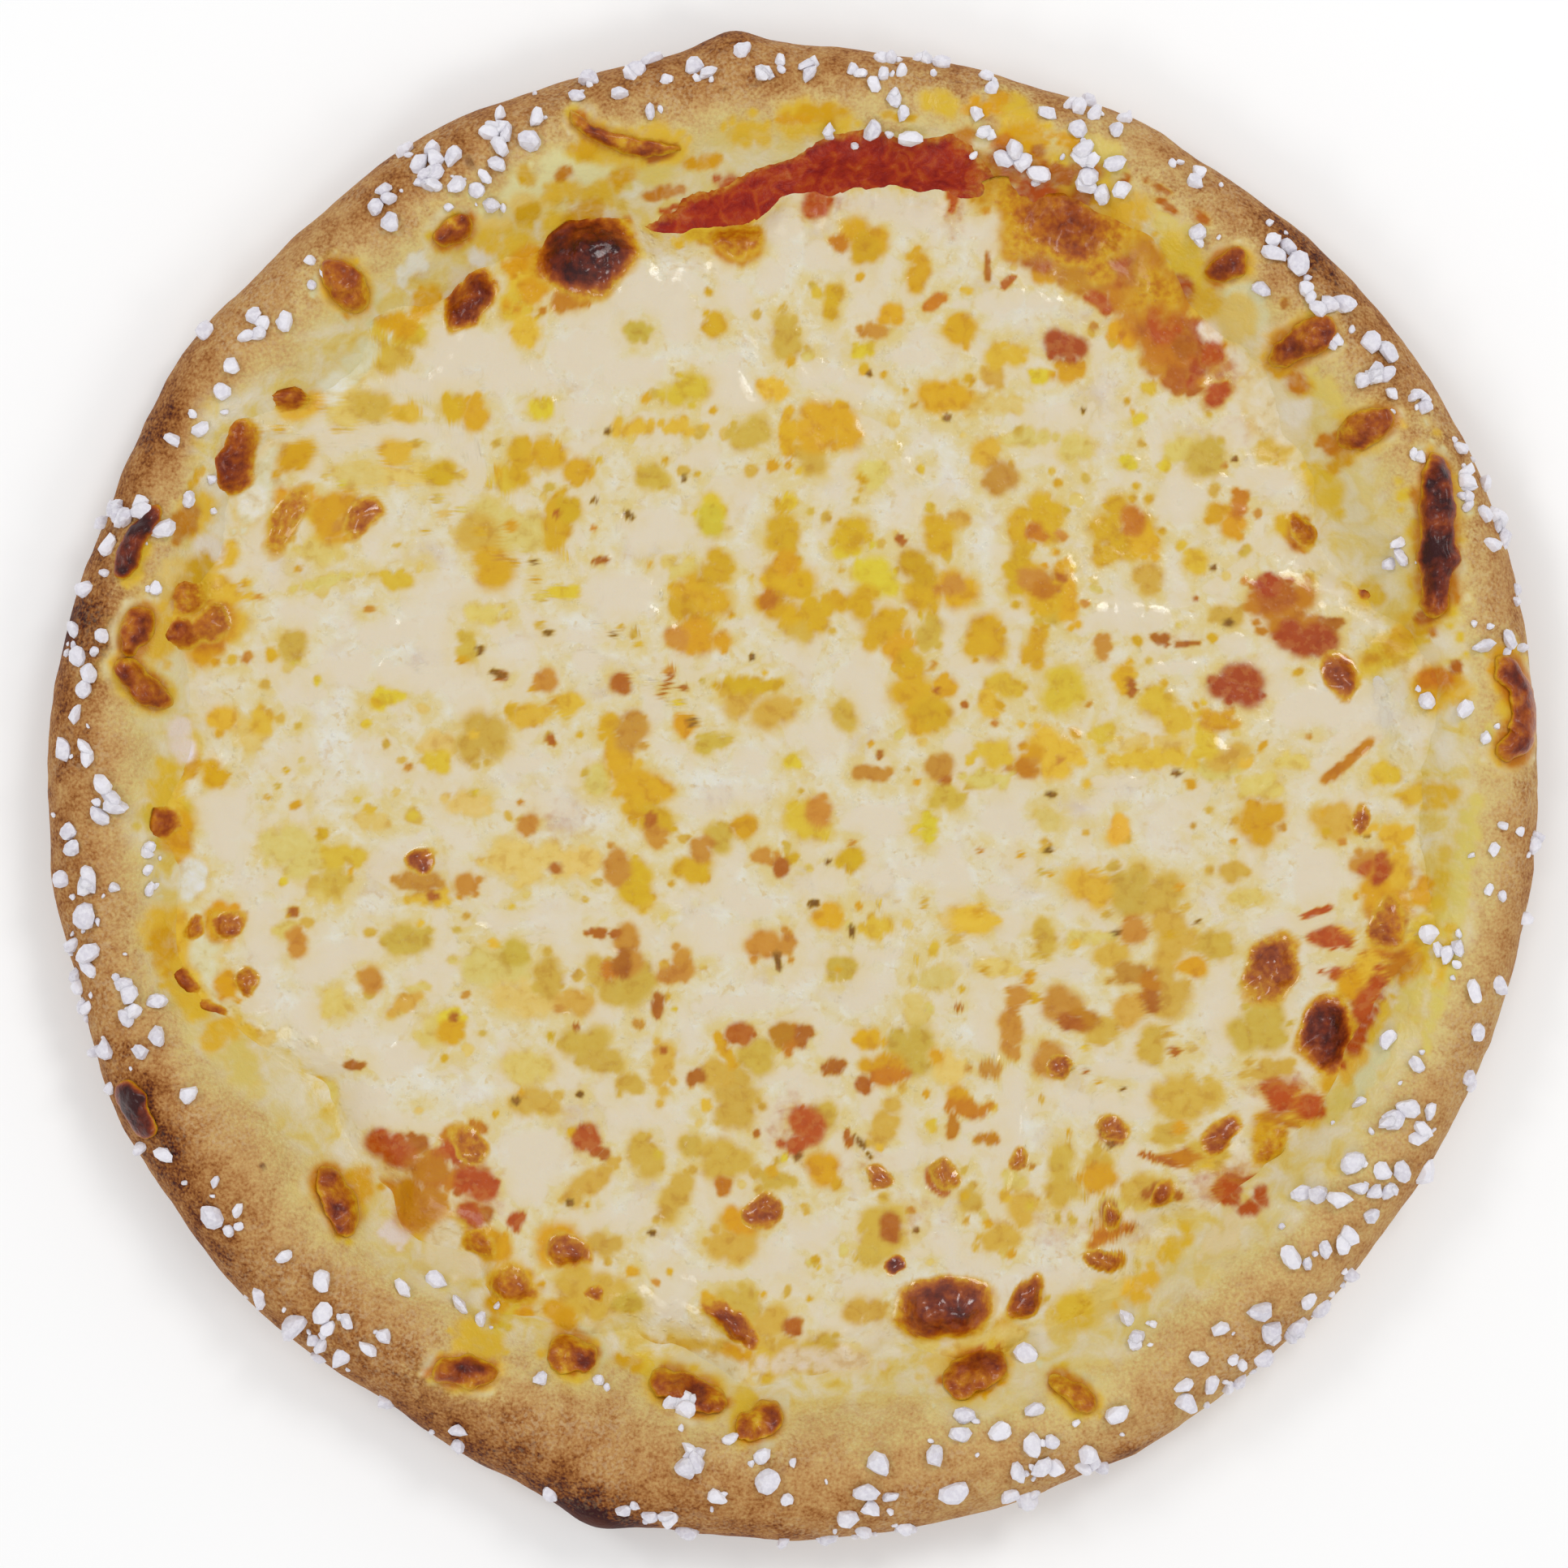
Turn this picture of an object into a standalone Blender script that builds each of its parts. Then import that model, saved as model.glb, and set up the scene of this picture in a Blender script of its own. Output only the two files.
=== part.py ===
"""A family cheese pizza with a salted rim: dough, tomato sauce, melted cheese and stray browned cheese.

Blender 4.5, metres, +Z up. The origin is the centre of the flat underside. Lengths below are in
millimetres and angles in degrees, counter-clockwise from +X, because a baker would state them so.
"""

import math
import random

import bmesh
import bpy
import numpy as np

MM = 0.001

# ---- driving sizes -------------------------------------------------------------------------------

PIZZA_RADIUS = 126.8        # a 10 inch pizza
FLOOR_HEIGHT = 5.0          # dough under the sauce
WIDEST_HEIGHT = 7.2         # where the rim stands out furthest
CREST_AT = 0.42             # crest of the rim, as a share of the rim's width from the outside
RIM_LOW = 11.5              # crest height = RIM_LOW + RIM_RISE * rim width
RIM_RISE = 0.24
SLOPE_UNDER_CHEESE = 7.0    # how far the rim's inner slope runs on below the cheese
ROUND_CREST = 10.0          # crest and floor of the turned blank, measured in from its outline
ROUND_FLOOR = 31.0
RIM_TOP = 17.0
BASE_INSET = 9.0            # the flat underside ends this far inside the outline

CHEESE_RADIUS = 102.5
CHEESE_LEVEL = 9.3
CHEESE_EDGE = 0.9           # thickness of the cheese where it ends
SAUCE_THICKNESS = 0.65
GAP = 0.5                   # clear space between neighbouring solids
SAUCE_SPACE = SAUCE_THICKNESS + GAP

SLOPE_SHARES = (0.2, 0.38, 0.54, 0.7, 0.85, 1.0)
CHEESE_SHARES = (0.54, 0.7, 0.85, 1.0)
SAUCE_SHARES = (0.3, 0.54, 0.7, 0.85, 1.0)

RIM_STEPS = 90
SAUCE_STEPS = 90
CHEESE_CELLS = 34           # cells along each side of the square that is bent into the disc
SALT_SEED = 11
LEAST_FUSED_GRAIN = 2.9     # grains shorter than this are left to the render

# (angle, millimetres, width in degrees) of the swellings of the outline
OUTLINE_LOBES = (
    (35, 2.2, 22), (63, 1.5, 5), (94.5, 2.5, 3.5), (120, 1.3, 8), (143, 1.0, 6), (160, -0.8, 5),
    (195, -0.7, 5), (207, 0.8, 5), (236, -1.9, 7), (255, 2.4, 4), (268, 0.7, 8), (325, -1.2, 22),
)

# the same for the edge of the cheese
CHEESE_LOBES = (
    (25, -1.0, 8), (50, 3.5, 12), (65, 5.0, 5), (76, 4.0, 6), (90, 0.8, 7), (100, -3.0, 5),
    (110, 1.5, 6), (123, -1.0, 5), (150, 6.5, 9), (170, 1.0, 8), (195.5, 8.0, 6.5), (212, -5.5, 6),
    (222, -4.5, 6), (236, -6.0, 6), (249, -6.0, 6), (265, -4.0, 10), (281, -5.0, 5),
    (288, -3.0, 6), (300, 1.5, 6), (310, -3.0, 4), (333, 3.0, 10), (352, 5.0, 8),
)

# Bare sauce shows between these angles: it comes out at the outer two and is full at the inner two.
BAND_ANGLES = (60, 75, 90, 105)
BAND_WIDTH = 8.0

# (angle, radius, length along the rim, width, lean in degrees, height) of the blisters in the cheese
BLISTERS = (
    (111, 98.5, 19, 12, -8, 3.6), (123.5, 99.5, 12, 7, 20, 2.6), (150, 106.5, 9, 5, 0, 2.0),
    (142, 104.5, 6, 5, 0, 1.6), (164.5, 100.5, 9, 7, 0, 2.0), (194, 107.5, 9, 5, 10, 2.0),
    (241, 91, 9, 7, 0, 2.0), (244, 84.5, 9, 7, 0, 1.8), (263.5, 90, 12, 8, -35, 2.0),
    (286, 91, 19, 10, -6, 3.2), (295, 94, 10, 8, 35, 2.0), (304, 95.5, 11, 8, -40, 1.6),
    (313, 92, 10, 7, 0, 1.8), (322, 94, 9, 7, 0, 1.8), (335.5, 99, 14, 9, 12, 2.8),
    (340, 87, 12, 9, -8, 2.8), (12.5, 95.5, 9, 6, 0, 2.0), (64.5, 104.5, 12, 10, 0, 2.4),
    (21, 89, 10, 7, 0, 1.6), (58.5, 89, 8, 5, 0, 1.5),
)

# node name, the run of its middle line as (angle, radius), width, height, share of black in its brown
DROPS = (
    ("charred_strip", ((26, 122.3), (21, 118.3), (16, 114)), 5.2, 3.0, 0.8),
    ("edge_bubble", ((9.2, 122.4), (7.8, 124.8), (5.6, 125.2), (3.9, 123.2), (3.4, 120.8)), 3.8, 2.2, 0.4),
    ("cheese_drop_a", ((41.7, 111.2), (41.4, 114), (41.1, 117.6)), 5.8, 2.6, 0.5),
    ("cheese_drop_b", ((32.4, 112), (32.3, 116)), 5.8, 2.4, 0.4),
    ("cheese_drop_c", ((50.7, 113.4), (50.1, 115.6)), 4.6, 2.0, 0.4),
    ("cheese_strand", ((107.9, 119.3), (107.2, 116), (105.2, 112.8), (102.7, 110.4), (100.6, 109.8)),
     3.0, 1.8, 0.2),
    ("cheese_drop_d", ((122.2, 110), (120.4, 110)), 3.6, 1.8, 0.4),
    ("cheese_drop_e", ((131.5, 112), (131.5, 115.2)), 6.2, 2.6, 0.4),
    ("cheese_drop_f", ((161.4, 118.5), (159, 118), (156.8, 117)), 4.0, 2.2, 0.7),
    ("cheese_drop_g", ((167.4, 113.6), (165.2, 113.4)), 4.6, 2.2, 0.4),
    ("cheese_drop_h", ((171.6, 108.2), (170.8, 110.8), (169.6, 113.4)), 4.6, 2.4, 0.5),
    ("burnt_patch", ((207, 122.7), (204.6, 123.2)), 5.0, 1.3, 1.0),
    ("cheese_drop_i", ((224, 105), (222.2, 103.4), (219.8, 102.8)), 4.6, 2.4, 0.5),
    ("cheese_drop_j", ((242, 110.4), (240.4, 111.8), (239, 113.2)), 4.6, 2.4, 0.5),
    ("cheese_drop_k", ((249.4, 102.4), (247.8, 102.4)), 5.4, 2.0, 0.3),
    ("cheese_drop_l", ((262.6, 103.9), (260.4, 103.4), (257.8, 102.6)), 5.0, 2.6, 0.6),
    ("cheese_drop_m", ((267.8, 105.8), (266, 107)), 4.6, 2.2, 0.4),
    ("cheese_drop_n", ((289, 102.8), (286, 103.6)), 6.0, 2.6, 0.5),
    ("cheese_drop_o", ((295.6, 114), (295.2, 111.8), (294.2, 109.2)), 3.6, 1.8, 0.1),
)

# (angle, radius, grains, length of a grain) of each knot of coarse salt
SALT_KNOTS = (
    (4.5, 116.5, 1, 1.8), (7, 113.5, 1, 2.8), (8, 107.7, 1, 2.8), (11, 120, 2, 3.0), (11.3, 125.3, 1, 2.2),
    (15, 127.4, 2, 1.8), (20.2, 126.8, 5, 2.9), (24.5, 127.4, 4, 2.6), (22.8, 124.6, 3, 2.3),
    (27.2, 126, 1, 2.4), (21, 110.8, 2, 2.4), (21, 107.4, 1, 2.6), (28.1, 119.4, 2, 1.8),
    (31.6, 121.6, 5, 2.4), (34.6, 120.5, 2, 3.2), (37, 120.6, 5, 2.9), (37, 124.7, 1, 2.2),
    (39.3, 117, 2, 2.1), (41.5, 121.6, 3, 3.0), (44, 120, 2, 2.1), (46.9, 122.3, 3, 3.0),
    (48.9, 122.9, 1, 2.3), (47, 115.2, 1, 2.4), (54, 117.6, 2, 2.8), (56.2, 123.6, 2, 2.3),
    (62.8, 114.8, 4, 3.0), (66, 116.5, 3, 2.8), (66, 120.4, 2, 2.8), (63.8, 126, 2, 2.2),
    (66.8, 126.4, 4, 2.5), (69.5, 122, 1, 2.4), (68.2, 112.2, 1, 3.0), (71.2, 112, 3, 2.7),
    (73.2, 114.3, 2, 2.2), (74.9, 117.9, 1, 2.6), (74.8, 124.4, 2, 2.0), (79.6, 125.4, 3, 2.5),
    (82.6, 125, 2, 2.3), (79.8, 111.6, 1, 3.4), (81, 116.3, 2, 2.3), (83.2, 111.8, 1, 2.8),
    (82.5, 120.2, 4, 2.2), (85.3, 122.4, 2, 2.0), (88, 122.2, 3, 2.4), (87, 111.6, 2, 1.9),
    (91, 123, 1, 2.0), (93.3, 122.1, 3, 2.7), (97.3, 122.1, 2, 2.5), (100, 121.5, 1, 2.0),
    (103, 122.5, 3, 2.5), (101, 126.2, 1, 3.0), (105.8, 125, 1, 2.8), (107.3, 122.5, 1, 2.6),
    (101.8, 116.3, 1, 2.2), (114.2, 122.6, 3, 2.6), (114.6, 118.8, 4, 2.6), (112, 117.8, 1, 3.0),
    (111, 120.8, 1, 2.6), (118.2, 123.1, 2, 2.8), (121.2, 122.7, 4, 2.8), (120.2, 119.8, 3, 2.4),
    (124.3, 122.2, 1, 2.4), (124.8, 119.2, 3, 2.6), (119, 116, 1, 2.6), (117, 115.3, 2, 2.3),
    (120.4, 113.4, 1, 1.5), (117.3, 111, 1, 2.4), (132.2, 118.6, 2, 2.0), (138.8, 119.8, 4, 2.3),
    (137.2, 116.2, 1, 2.5), (142, 126, 1, 3.0), (143, 118, 1, 2.5), (144.8, 117, 1, 2.4),
    (148.6, 116.5, 1, 2.3), (150.5, 119.3, 1, 2.3), (154, 112.8, 1, 2.3), (157.3, 114.6, 1, 3.2),
    (157.6, 120.4, 4, 2.8), (159.4, 122.6, 4, 2.9), (157.2, 124, 1, 2.2), (162.1, 112.7, 1, 2.2),
    (163.9, 124, 1, 2.5), (167.1, 119, 1, 2.5), (167.1, 124.2, 1, 2.4), (169.4, 122.5, 1, 2.4),
    (171.5, 121.8, 2, 3.0), (173.8, 121.2, 1, 2.6), (176.8, 121.2, 3, 3.1), (179.4, 116.2, 2, 3.0),
    (181.2, 113.6, 1, 3.1), (182.1, 116.3, 1, 3.1), (183.2, 122, 1, 2.9), (184.6, 121.6, 1, 2.7),
    (186.9, 124.6, 1, 2.5), (187.9, 121.6, 3, 2.7), (190.1, 121, 1, 3.2), (188, 115.3, 1, 1.5),
    (188, 109.2, 2, 2.1), (185.4, 108, 2, 2.1), (192, 124.3, 1, 2.8), (193.7, 120.7, 2, 3.1),
    (195.3, 125.6, 2, 2.4), (197.8, 125.6, 2, 2.2), (196.2, 117.2, 2, 2.9), (198.7, 118.1, 1, 2.8),
    (198, 114.8, 2, 2.9), (201.1, 114.3, 1, 3.2), (201.9, 117.8, 1, 2.5), (200.4, 123.6, 2, 2.6),
    (203.4, 126, 1, 2.2), (208.5, 125.8, 1, 2.5), (210, 122, 1, 2.9), (206.5, 113.3, 1, 3.2),
    (216.2, 121, 1, 3.8), (218, 119.7, 1, 1.8), (217, 116.5, 1, 2.5), (214, 116.7, 1, 1.6),
    (222.5, 115.3, 1, 2.1), (223.4, 124, 1, 3.0), (226.2, 113.6, 1, 2.9), (226.9, 122.9, 1, 4.6),
    (228.8, 124.4, 3, 2.5), (227.8, 118, 1, 3.1), (229.2, 117, 2, 2.3), (231.5, 122.2, 1, 3.0),
    (232.6, 117.2, 1, 2.7), (233, 114.3, 1, 2.2), (232, 106.4, 1, 3.0), (234, 102.2, 1, 2.8),
    (237, 103.4, 1, 3.1), (239.2, 103.6, 1, 2.5), (236.4, 124.2, 1, 2.4), (242.3, 123.2, 2, 2.6),
    (246.8, 107.5, 1, 2.5), (251.7, 104.5, 1, 2.3), (251.1, 125.7, 1, 2.6), (256.8, 124, 1, 2.1),
    (258.8, 124.4, 1, 2.5), (261, 126, 2, 2.9), (260.2, 123.4, 1, 2.1), (263.9, 118.8, 1, 2.5),
    (261, 114.8, 1, 3.2), (268, 115, 1, 3.9), (267.4, 111, 1, 2.7), (261.2, 111.2, 3, 2.9),
    (259.4, 108, 5, 2.7), (264.5, 109, 1, 2.3), (269.3, 126.6, 1, 2.6), (269.7, 118.5, 1, 2.1),
    (272.7, 126.4, 1, 3.0), (274.1, 122.3, 1, 3.2), (275.5, 125.4, 1, 2.4), (276.2, 121.2, 1, 3.0),
    (276.2, 118, 1, 3.4), (277.9, 119.2, 1, 2.7), (277.3, 113.5, 1, 3.6), (278.9, 126, 3, 2.4),
    (282.1, 113.6, 1, 3.2), (283, 120.8, 1, 3.7), (286, 110, 2, 2.9), (288, 112.8, 1, 3.3),
    (287, 124.6, 1, 3.1), (289.2, 125.6, 2, 3.1), (288.3, 120.6, 1, 2.6), (290.3, 116.6, 1, 3.0),
    (291.3, 111.6, 1, 3.0), (291.8, 117.4, 1, 2.2), (291.3, 120.7, 2, 3.1), (293.8, 125, 4, 2.8),
    (292.4, 103.3, 1, 3.0), (297.2, 117.8, 1, 3.4), (302.2, 107, 2, 2.6), (301.8, 109.7, 1, 2.2),
    (302.8, 122.4, 1, 3.0), (303.2, 119.7, 1, 2.8), (305.2, 122.4, 1, 2.8), (305.8, 117.2, 1, 3.1),
    (307, 125.2, 2, 2.6), (308, 122.6, 2, 1.9), (309.7, 124.8, 1, 2.9), (308.6, 115.2, 1, 2.8),
    (311.2, 121.8, 1, 2.7), (312.7, 121.6, 2, 2.9), (312.1, 117.4, 1, 3.9), (312.4, 125, 1, 2.6),
    (314.4, 124.4, 3, 3.0), (317, 114.2, 1, 3.4), (317.3, 117, 1, 1.8), (318.9, 124.9, 1, 3.0),
    (319.4, 118, 1, 2.4), (321.7, 120, 2, 3.0), (323.8, 120.5, 1, 2.8), (323.2, 114.3, 1, 3.9),
    (322.8, 109.6, 2, 3.1), (326.5, 120.8, 1, 2.0), (326.6, 117, 4, 2.5), (326.4, 112.7, 1, 3.5),
    (328.3, 118.8, 2, 3.0), (329, 124.8, 1, 3.2), (331.2, 120.4, 1, 3.0), (331.6, 117.4, 2, 2.9),
    (332.8, 116.2, 1, 3.1), (331.1, 114.3, 1, 3.0), (333.3, 120, 1, 2.6), (331.2, 109, 1, 2.3),
    (336.5, 114.3, 1, 2.7), (337.5, 109, 1, 2.8), (337.2, 125, 2, 2.1), (340.6, 122.4, 1, 2.7),
    (344.6, 123.6, 1, 2.8), (343.7, 119.5, 1, 2.8), (345.7, 114.5, 2, 2.6), (346, 111.9, 1, 2.3),
    (347.4, 110, 1, 2.9), (350.2, 126.6, 1, 2.5), (352, 119, 2, 1.7), (355.3, 118, 1, 2.1),
    (356.3, 125.8, 2, 2.4), (357.3, 119.1, 1, 1.7),
)


# ---- form, as functions of the place -------------------------------------------------------------


def lobes(angle, table):
    """Sum of smooth swellings round the pizza: height * exp(-(distance / width)^2)."""
    total = np.zeros_like(angle)
    for centre, height, width in table:
        away = (angle - centre + 180) % 360 - 180
        total = total + height * np.exp(-(away / width) ** 2)
    return total


def smooth(t):
    """0 below 0, 1 above 1 and an even S between them."""
    t = np.clip(t, 0, 1)
    return t * t * (3 - 2 * t)


def outline(angle):
    return PIZZA_RADIUS + lobes(angle, OUTLINE_LOBES)


def cheese_edge(angle):
    return CHEESE_RADIUS + lobes(angle, CHEESE_LOBES)


def rim_width(angle):
    """The rim follows the edge of the cheese, but less strongly."""
    return 8 + 0.7 * (outline(angle) - cheese_edge(angle))


def rim_height(angle):
    waves = 0.5 * np.sin(np.radians(3 * angle + 40)) + 0.4 * np.sin(np.radians(7 * angle + 10))
    return RIM_LOW + RIM_RISE * rim_width(angle) + waves


def polar(x, y):
    return np.degrees(np.arctan2(y, x)) % 360, np.hypot(x, y)


def place(angle, radius):
    turn = np.radians(angle)
    return radius * np.cos(turn), radius * np.sin(turn)


def dough_top(x, y):
    """Height of the dough: a quarter ellipse up to the crest, then a cosine slope to the floor."""
    angle, radius = polar(x, y)
    inside = np.maximum(outline(angle) - radius, 0)
    width = rim_width(angle)
    crest = CREST_AT * width
    height = rim_height(angle)
    climb = np.clip(inside / crest, 0, 1)
    outer = WIDEST_HEIGHT + (height - WIDEST_HEIGHT) * np.sqrt(1 - (1 - climb) ** 2)
    fall = np.clip((inside - crest) / (width + SLOPE_UNDER_CHEESE - crest), 0, 1)
    inner = FLOOR_HEIGHT + (height - FLOOR_HEIGHT) * (0.5 + 0.5 * np.cos(np.pi * fall))
    return np.where(inside < crest, outer, inner)


def band(angle, reach=0.0):
    """1 where the sauce lies bare beside the cheese, 0 elsewhere; reach widens it, in degrees."""
    first, full, last, end = BAND_ANGLES
    return smooth((angle - first + reach) / (full - first)) * smooth((end + reach - angle) / (end - last))


def sauce_edge(angle):
    return cheese_edge(angle) - 4 + (4 + BAND_WIDTH) * band(angle)


def sauce_room(angle, radius):
    """1 where sauce lies below the cheese, easing to 0 at the hidden edge of the sauce."""
    under = smooth((cheese_edge(angle) - radius) / 3.5)
    return np.maximum(under, band(angle, 12.0))


def cheese_bottom(x, y):
    angle, radius = polar(x, y)
    return dough_top(x, y) + GAP + SAUCE_SPACE * sauce_room(angle, radius)


def blister_rise(x, y):
    """Domes (1 - d^2)^1.5 over leaning ellipses."""
    rise = np.zeros_like(x)
    for angle, radius, length, width, lean, height in BLISTERS:
        cx, cy = place(angle, radius)
        turn = math.radians(angle + 90 + lean)
        along = (x - cx) * math.cos(turn) + (y - cy) * math.sin(turn)
        across = (y - cy) * math.cos(turn) - (x - cx) * math.sin(turn)
        near = 1 - (along / (length / 2)) ** 2 - (across / (width / 2)) ** 2
        rise = rise + height * np.clip(near, 0, 1) ** 1.5
    return rise


def lump_rise(x, y):
    """The uneven melt: seeded low mounds and hollows, none narrower than a cell of the mesh."""
    draw = random.Random(5)
    rise = np.zeros_like(x)
    for _ in range(90):
        cx, cy = place(draw.uniform(0, 360), 98 * math.sqrt(draw.random()))
        width = draw.uniform(7, 15)
        height = draw.uniform(-0.7, 1.1)
        rise = rise + height * np.exp(-((x - cx) ** 2 + (y - cy) ** 2) / width**2)
    return rise


def cheese_top(x, y):
    """The melted layer, which thins out to its edge and climbs the slope of the rim."""
    angle, radius = polar(x, y)
    inwards = cheese_edge(angle) - radius
    level = CHEESE_LEVEL + lump_rise(x, y) * smooth(inwards / 8)
    level = FLOOR_HEIGHT + (level - FLOOR_HEIGHT) * (0.55 + 0.45 * smooth(inwards / 4))
    least = cheese_bottom(x, y) + CHEESE_EDGE
    return np.maximum(level, least) + blister_rise(x, y)


# ---- meshes --------------------------------------------------------------------------------------


def material(name, colour, roughness):
    made = bpy.data.materials.new(name)
    made.use_nodes = True
    shader = made.node_tree.nodes["Principled BSDF"]
    shader.inputs["Base Color"].default_value = (*colour, 1)
    shader.inputs["Roughness"].default_value = roughness
    shader.inputs["Metallic"].default_value = 0
    return made


def add_object(name, mesh, look, collection):
    """Links a mesh made in millimetres as an object in metres."""
    mesh.transform(((MM, 0, 0, 0), (0, MM, 0, 0), (0, 0, MM, 0), (0, 0, 0, 1)))
    mesh.materials.clear()
    mesh.materials.append(look)
    mesh.shade_smooth()
    mesh.set_sharp_from_angle(angle=math.radians(60))
    obj = bpy.data.objects.new(name, mesh)
    collection.objects.link(obj)
    return obj


def mesh_of(bm, name):
    bmesh.ops.recalc_face_normals(bm, faces=bm.faces)
    mesh = bpy.data.meshes.new(name)
    bm.to_mesh(mesh)
    bm.free()
    return mesh


def turned(name, profile, steps):
    """Screws a section of (radius, height) round the axis and returns the mesh."""
    section = bpy.data.meshes.new(name + "_section")
    corners = [(radius, 0, height) for radius, height in profile]
    section.from_pydata(corners, [(i, i + 1) for i in range(len(corners) - 1)], [])
    blank = bpy.data.objects.new(name + "_blank", section)
    bpy.context.collection.objects.link(blank)
    screw = blank.modifiers.new("turn", "SCREW")
    screw.steps = steps
    screw.render_steps = steps
    screw.use_merge_vertices = True
    screw.merge_threshold = 0.0001
    mesh = bpy.data.meshes.new_from_object(
        blank.evaluated_get(bpy.context.evaluated_depsgraph_get())
    )
    bpy.data.objects.remove(blank)
    return mesh


def bend(mesh, move):
    """Moves every corner of a mesh by one formula."""
    flat = np.empty(len(mesh.vertices) * 3)
    mesh.vertices.foreach_get("co", flat)
    x, y, z = flat.reshape(-1, 3).T
    mesh.vertices.foreach_set("co", np.stack(move(x, y, z), 1).ravel())
    mesh.update()


def slope_radius(angle, share):
    """Radius at a share of the way from the crest, 0, down the slope to the well's floor, 1."""
    width = rim_width(angle)
    crest = CREST_AT * width
    return outline(angle) - crest - share * (width + SLOPE_UNDER_CHEESE - crest)


def sway_dough(x, y, z):
    """Moves the evenly turned dough to the uneven outline.

    On the turned blank the crest is ROUND_CREST inside the outline and the floor starts at
    ROUND_FLOOR; both distances are stretched to those of each angle, and the top is lifted to suit.
    """
    angle, radius = polar(x, y)
    inside = PIZZA_RADIUS - radius
    over_rim = outline(angle) - inside / ROUND_CREST * CREST_AT * rim_width(angle)
    over_slope = slope_radius(angle, (inside - ROUND_CREST) / (ROUND_FLOOR - ROUND_CREST))
    is_top = z > WIDEST_HEIGHT + 0.01
    new_radius = outline(angle) - inside
    new_radius = np.where(is_top & (inside <= ROUND_CREST), over_rim, new_radius)
    new_radius = np.where(is_top & (inside > ROUND_CREST), over_slope, new_radius)
    new_x, new_y = place(angle, np.where(radius < 1, 0, new_radius))
    return new_x, new_y, np.where(is_top, dough_top(new_x, new_y), z)


def dough_section():
    """From the middle of the floor over the crest, round the outside and back under the base."""
    section = [(0, FLOOR_HEIGHT)]
    for share in reversed(SLOPE_SHARES):
        inside = ROUND_CREST + share * (ROUND_FLOOR - ROUND_CREST)
        section.append((PIZZA_RADIUS - inside, RIM_TOP))
    for share in (1.0, 0.5, 0.2, 0.05):
        section.append((PIZZA_RADIUS - share * ROUND_CREST, RIM_TOP))
    section += [
        (PIZZA_RADIUS, WIDEST_HEIGHT),
        (PIZZA_RADIUS - 1.5, 3.1),
        (PIZZA_RADIUS - 4.6, 0.7),
        (PIZZA_RADIUS - BASE_INSET, 0),
        (0, 0),
    ]
    return section


def distance_to_drop(x, y, path):
    """Least distance from a point to the middle line of a drop."""
    points = [place(a, r) for a, r in path]
    least = 1e9
    for (ax, ay), (bx, by) in zip(points, points[1:]):
        dx, dy = bx - ax, by - ay
        share = ((x - ax) * dx + (y - ay) * dy) / (dx * dx + dy * dy)
        share = min(max(share, 0), 1)
        least = min(least, math.hypot(x - ax - share * dx, y - ay - share * dy))
    return least


def clear_of_nodes(x, y, length):
    """True where a grain lies on bare dough, clear of cheese, sauce and drops."""
    angle, radius = (float(v) for v in polar(np.float64(x), np.float64(y)))
    angle = np.float64(angle)
    room = length / 2 + 0.6
    if radius - room < max(cheese_edge(angle), sauce_edge(angle)):
        return False
    return all(
        distance_to_drop(x, y, path) > width / 2 + room for _, path, width, _, _ in DROPS
    )


def salt_grains():
    """(x, y, length, turn) of every grain, drawn round its knot, the same in each run."""
    draw = random.Random(SALT_SEED)
    grains = []
    for angle, radius, count, length in SALT_KNOTS:
        for _ in range(count):
            spread = 0.25 if count == 1 else 0.62 * length * math.sqrt(count)
            x, y = place(angle, radius)
            x += draw.uniform(-1, 1) * spread
            y += draw.uniform(-1, 1) * spread
            grains.append((x, y, length * draw.uniform(0.9, 1.1), draw.uniform(0, math.pi)))
    return grains


def grain_mesh(draw, x, y, length, turn):
    """A rough 20-sided crystal, a third of it sunk in the dough."""
    bm = bmesh.new()
    bmesh.ops.create_icosphere(bm, subdivisions=1, radius=0.5)
    angle, radius = (np.float64(v) for v in polar(x, y))
    radius = min(radius, outline(angle) - 0.7)
    x, y = place(angle, radius)
    z = float(dough_top(x, y)) + 0.14 * length
    half_width = draw.uniform(0.68, 0.9)
    for vert in bm.verts:
        rough = draw.uniform(0.85, 1.12)
        px = vert.co.x * rough * length
        py = vert.co.y * rough * length * half_width
        pz = vert.co.z * rough * length * 0.66
        vert.co.x = x + px * math.cos(turn) - py * math.sin(turn)
        vert.co.y = y + px * math.sin(turn) + py * math.cos(turn)
        vert.co.z = z + pz
    return mesh_of(bm, "grain")


def fuse_salt(dough, look):
    """One Boolean union joins the larger grains to the dough."""
    draw = random.Random(SALT_SEED + 1)
    grains = bpy.data.collections.new("grains")
    for x, y, length, turn in salt_grains():
        if length >= LEAST_FUSED_GRAIN and clear_of_nodes(x, y, length):
            add_object("grain", grain_mesh(draw, x, y, length, turn), look, grains)
    join = dough.modifiers.new("salt", "BOOLEAN")
    join.operation = "UNION"
    join.solver = "EXACT"
    join.operand_type = "COLLECTION"
    join.collection = grains
    graph = bpy.context.evaluated_depsgraph_get()
    fused = bpy.data.meshes.new_from_object(dough.evaluated_get(graph))
    dough.modifiers.clear()
    dough.data = fused
    print(len(grains.objects), "grains fused")
    for grain in list(grains.objects):
        bpy.data.objects.remove(grain)
    bpy.data.collections.remove(grains)


def build_crust(look, pizza):
    """The dough is turned, swayed to the uneven outline and strewn with salt."""
    mesh = turned("crust", dough_section(), RIM_STEPS)
    bend(mesh, sway_dough)
    dough = add_object("crust", mesh, look, pizza)
    fuse_salt(dough, look)
    return dough


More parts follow.
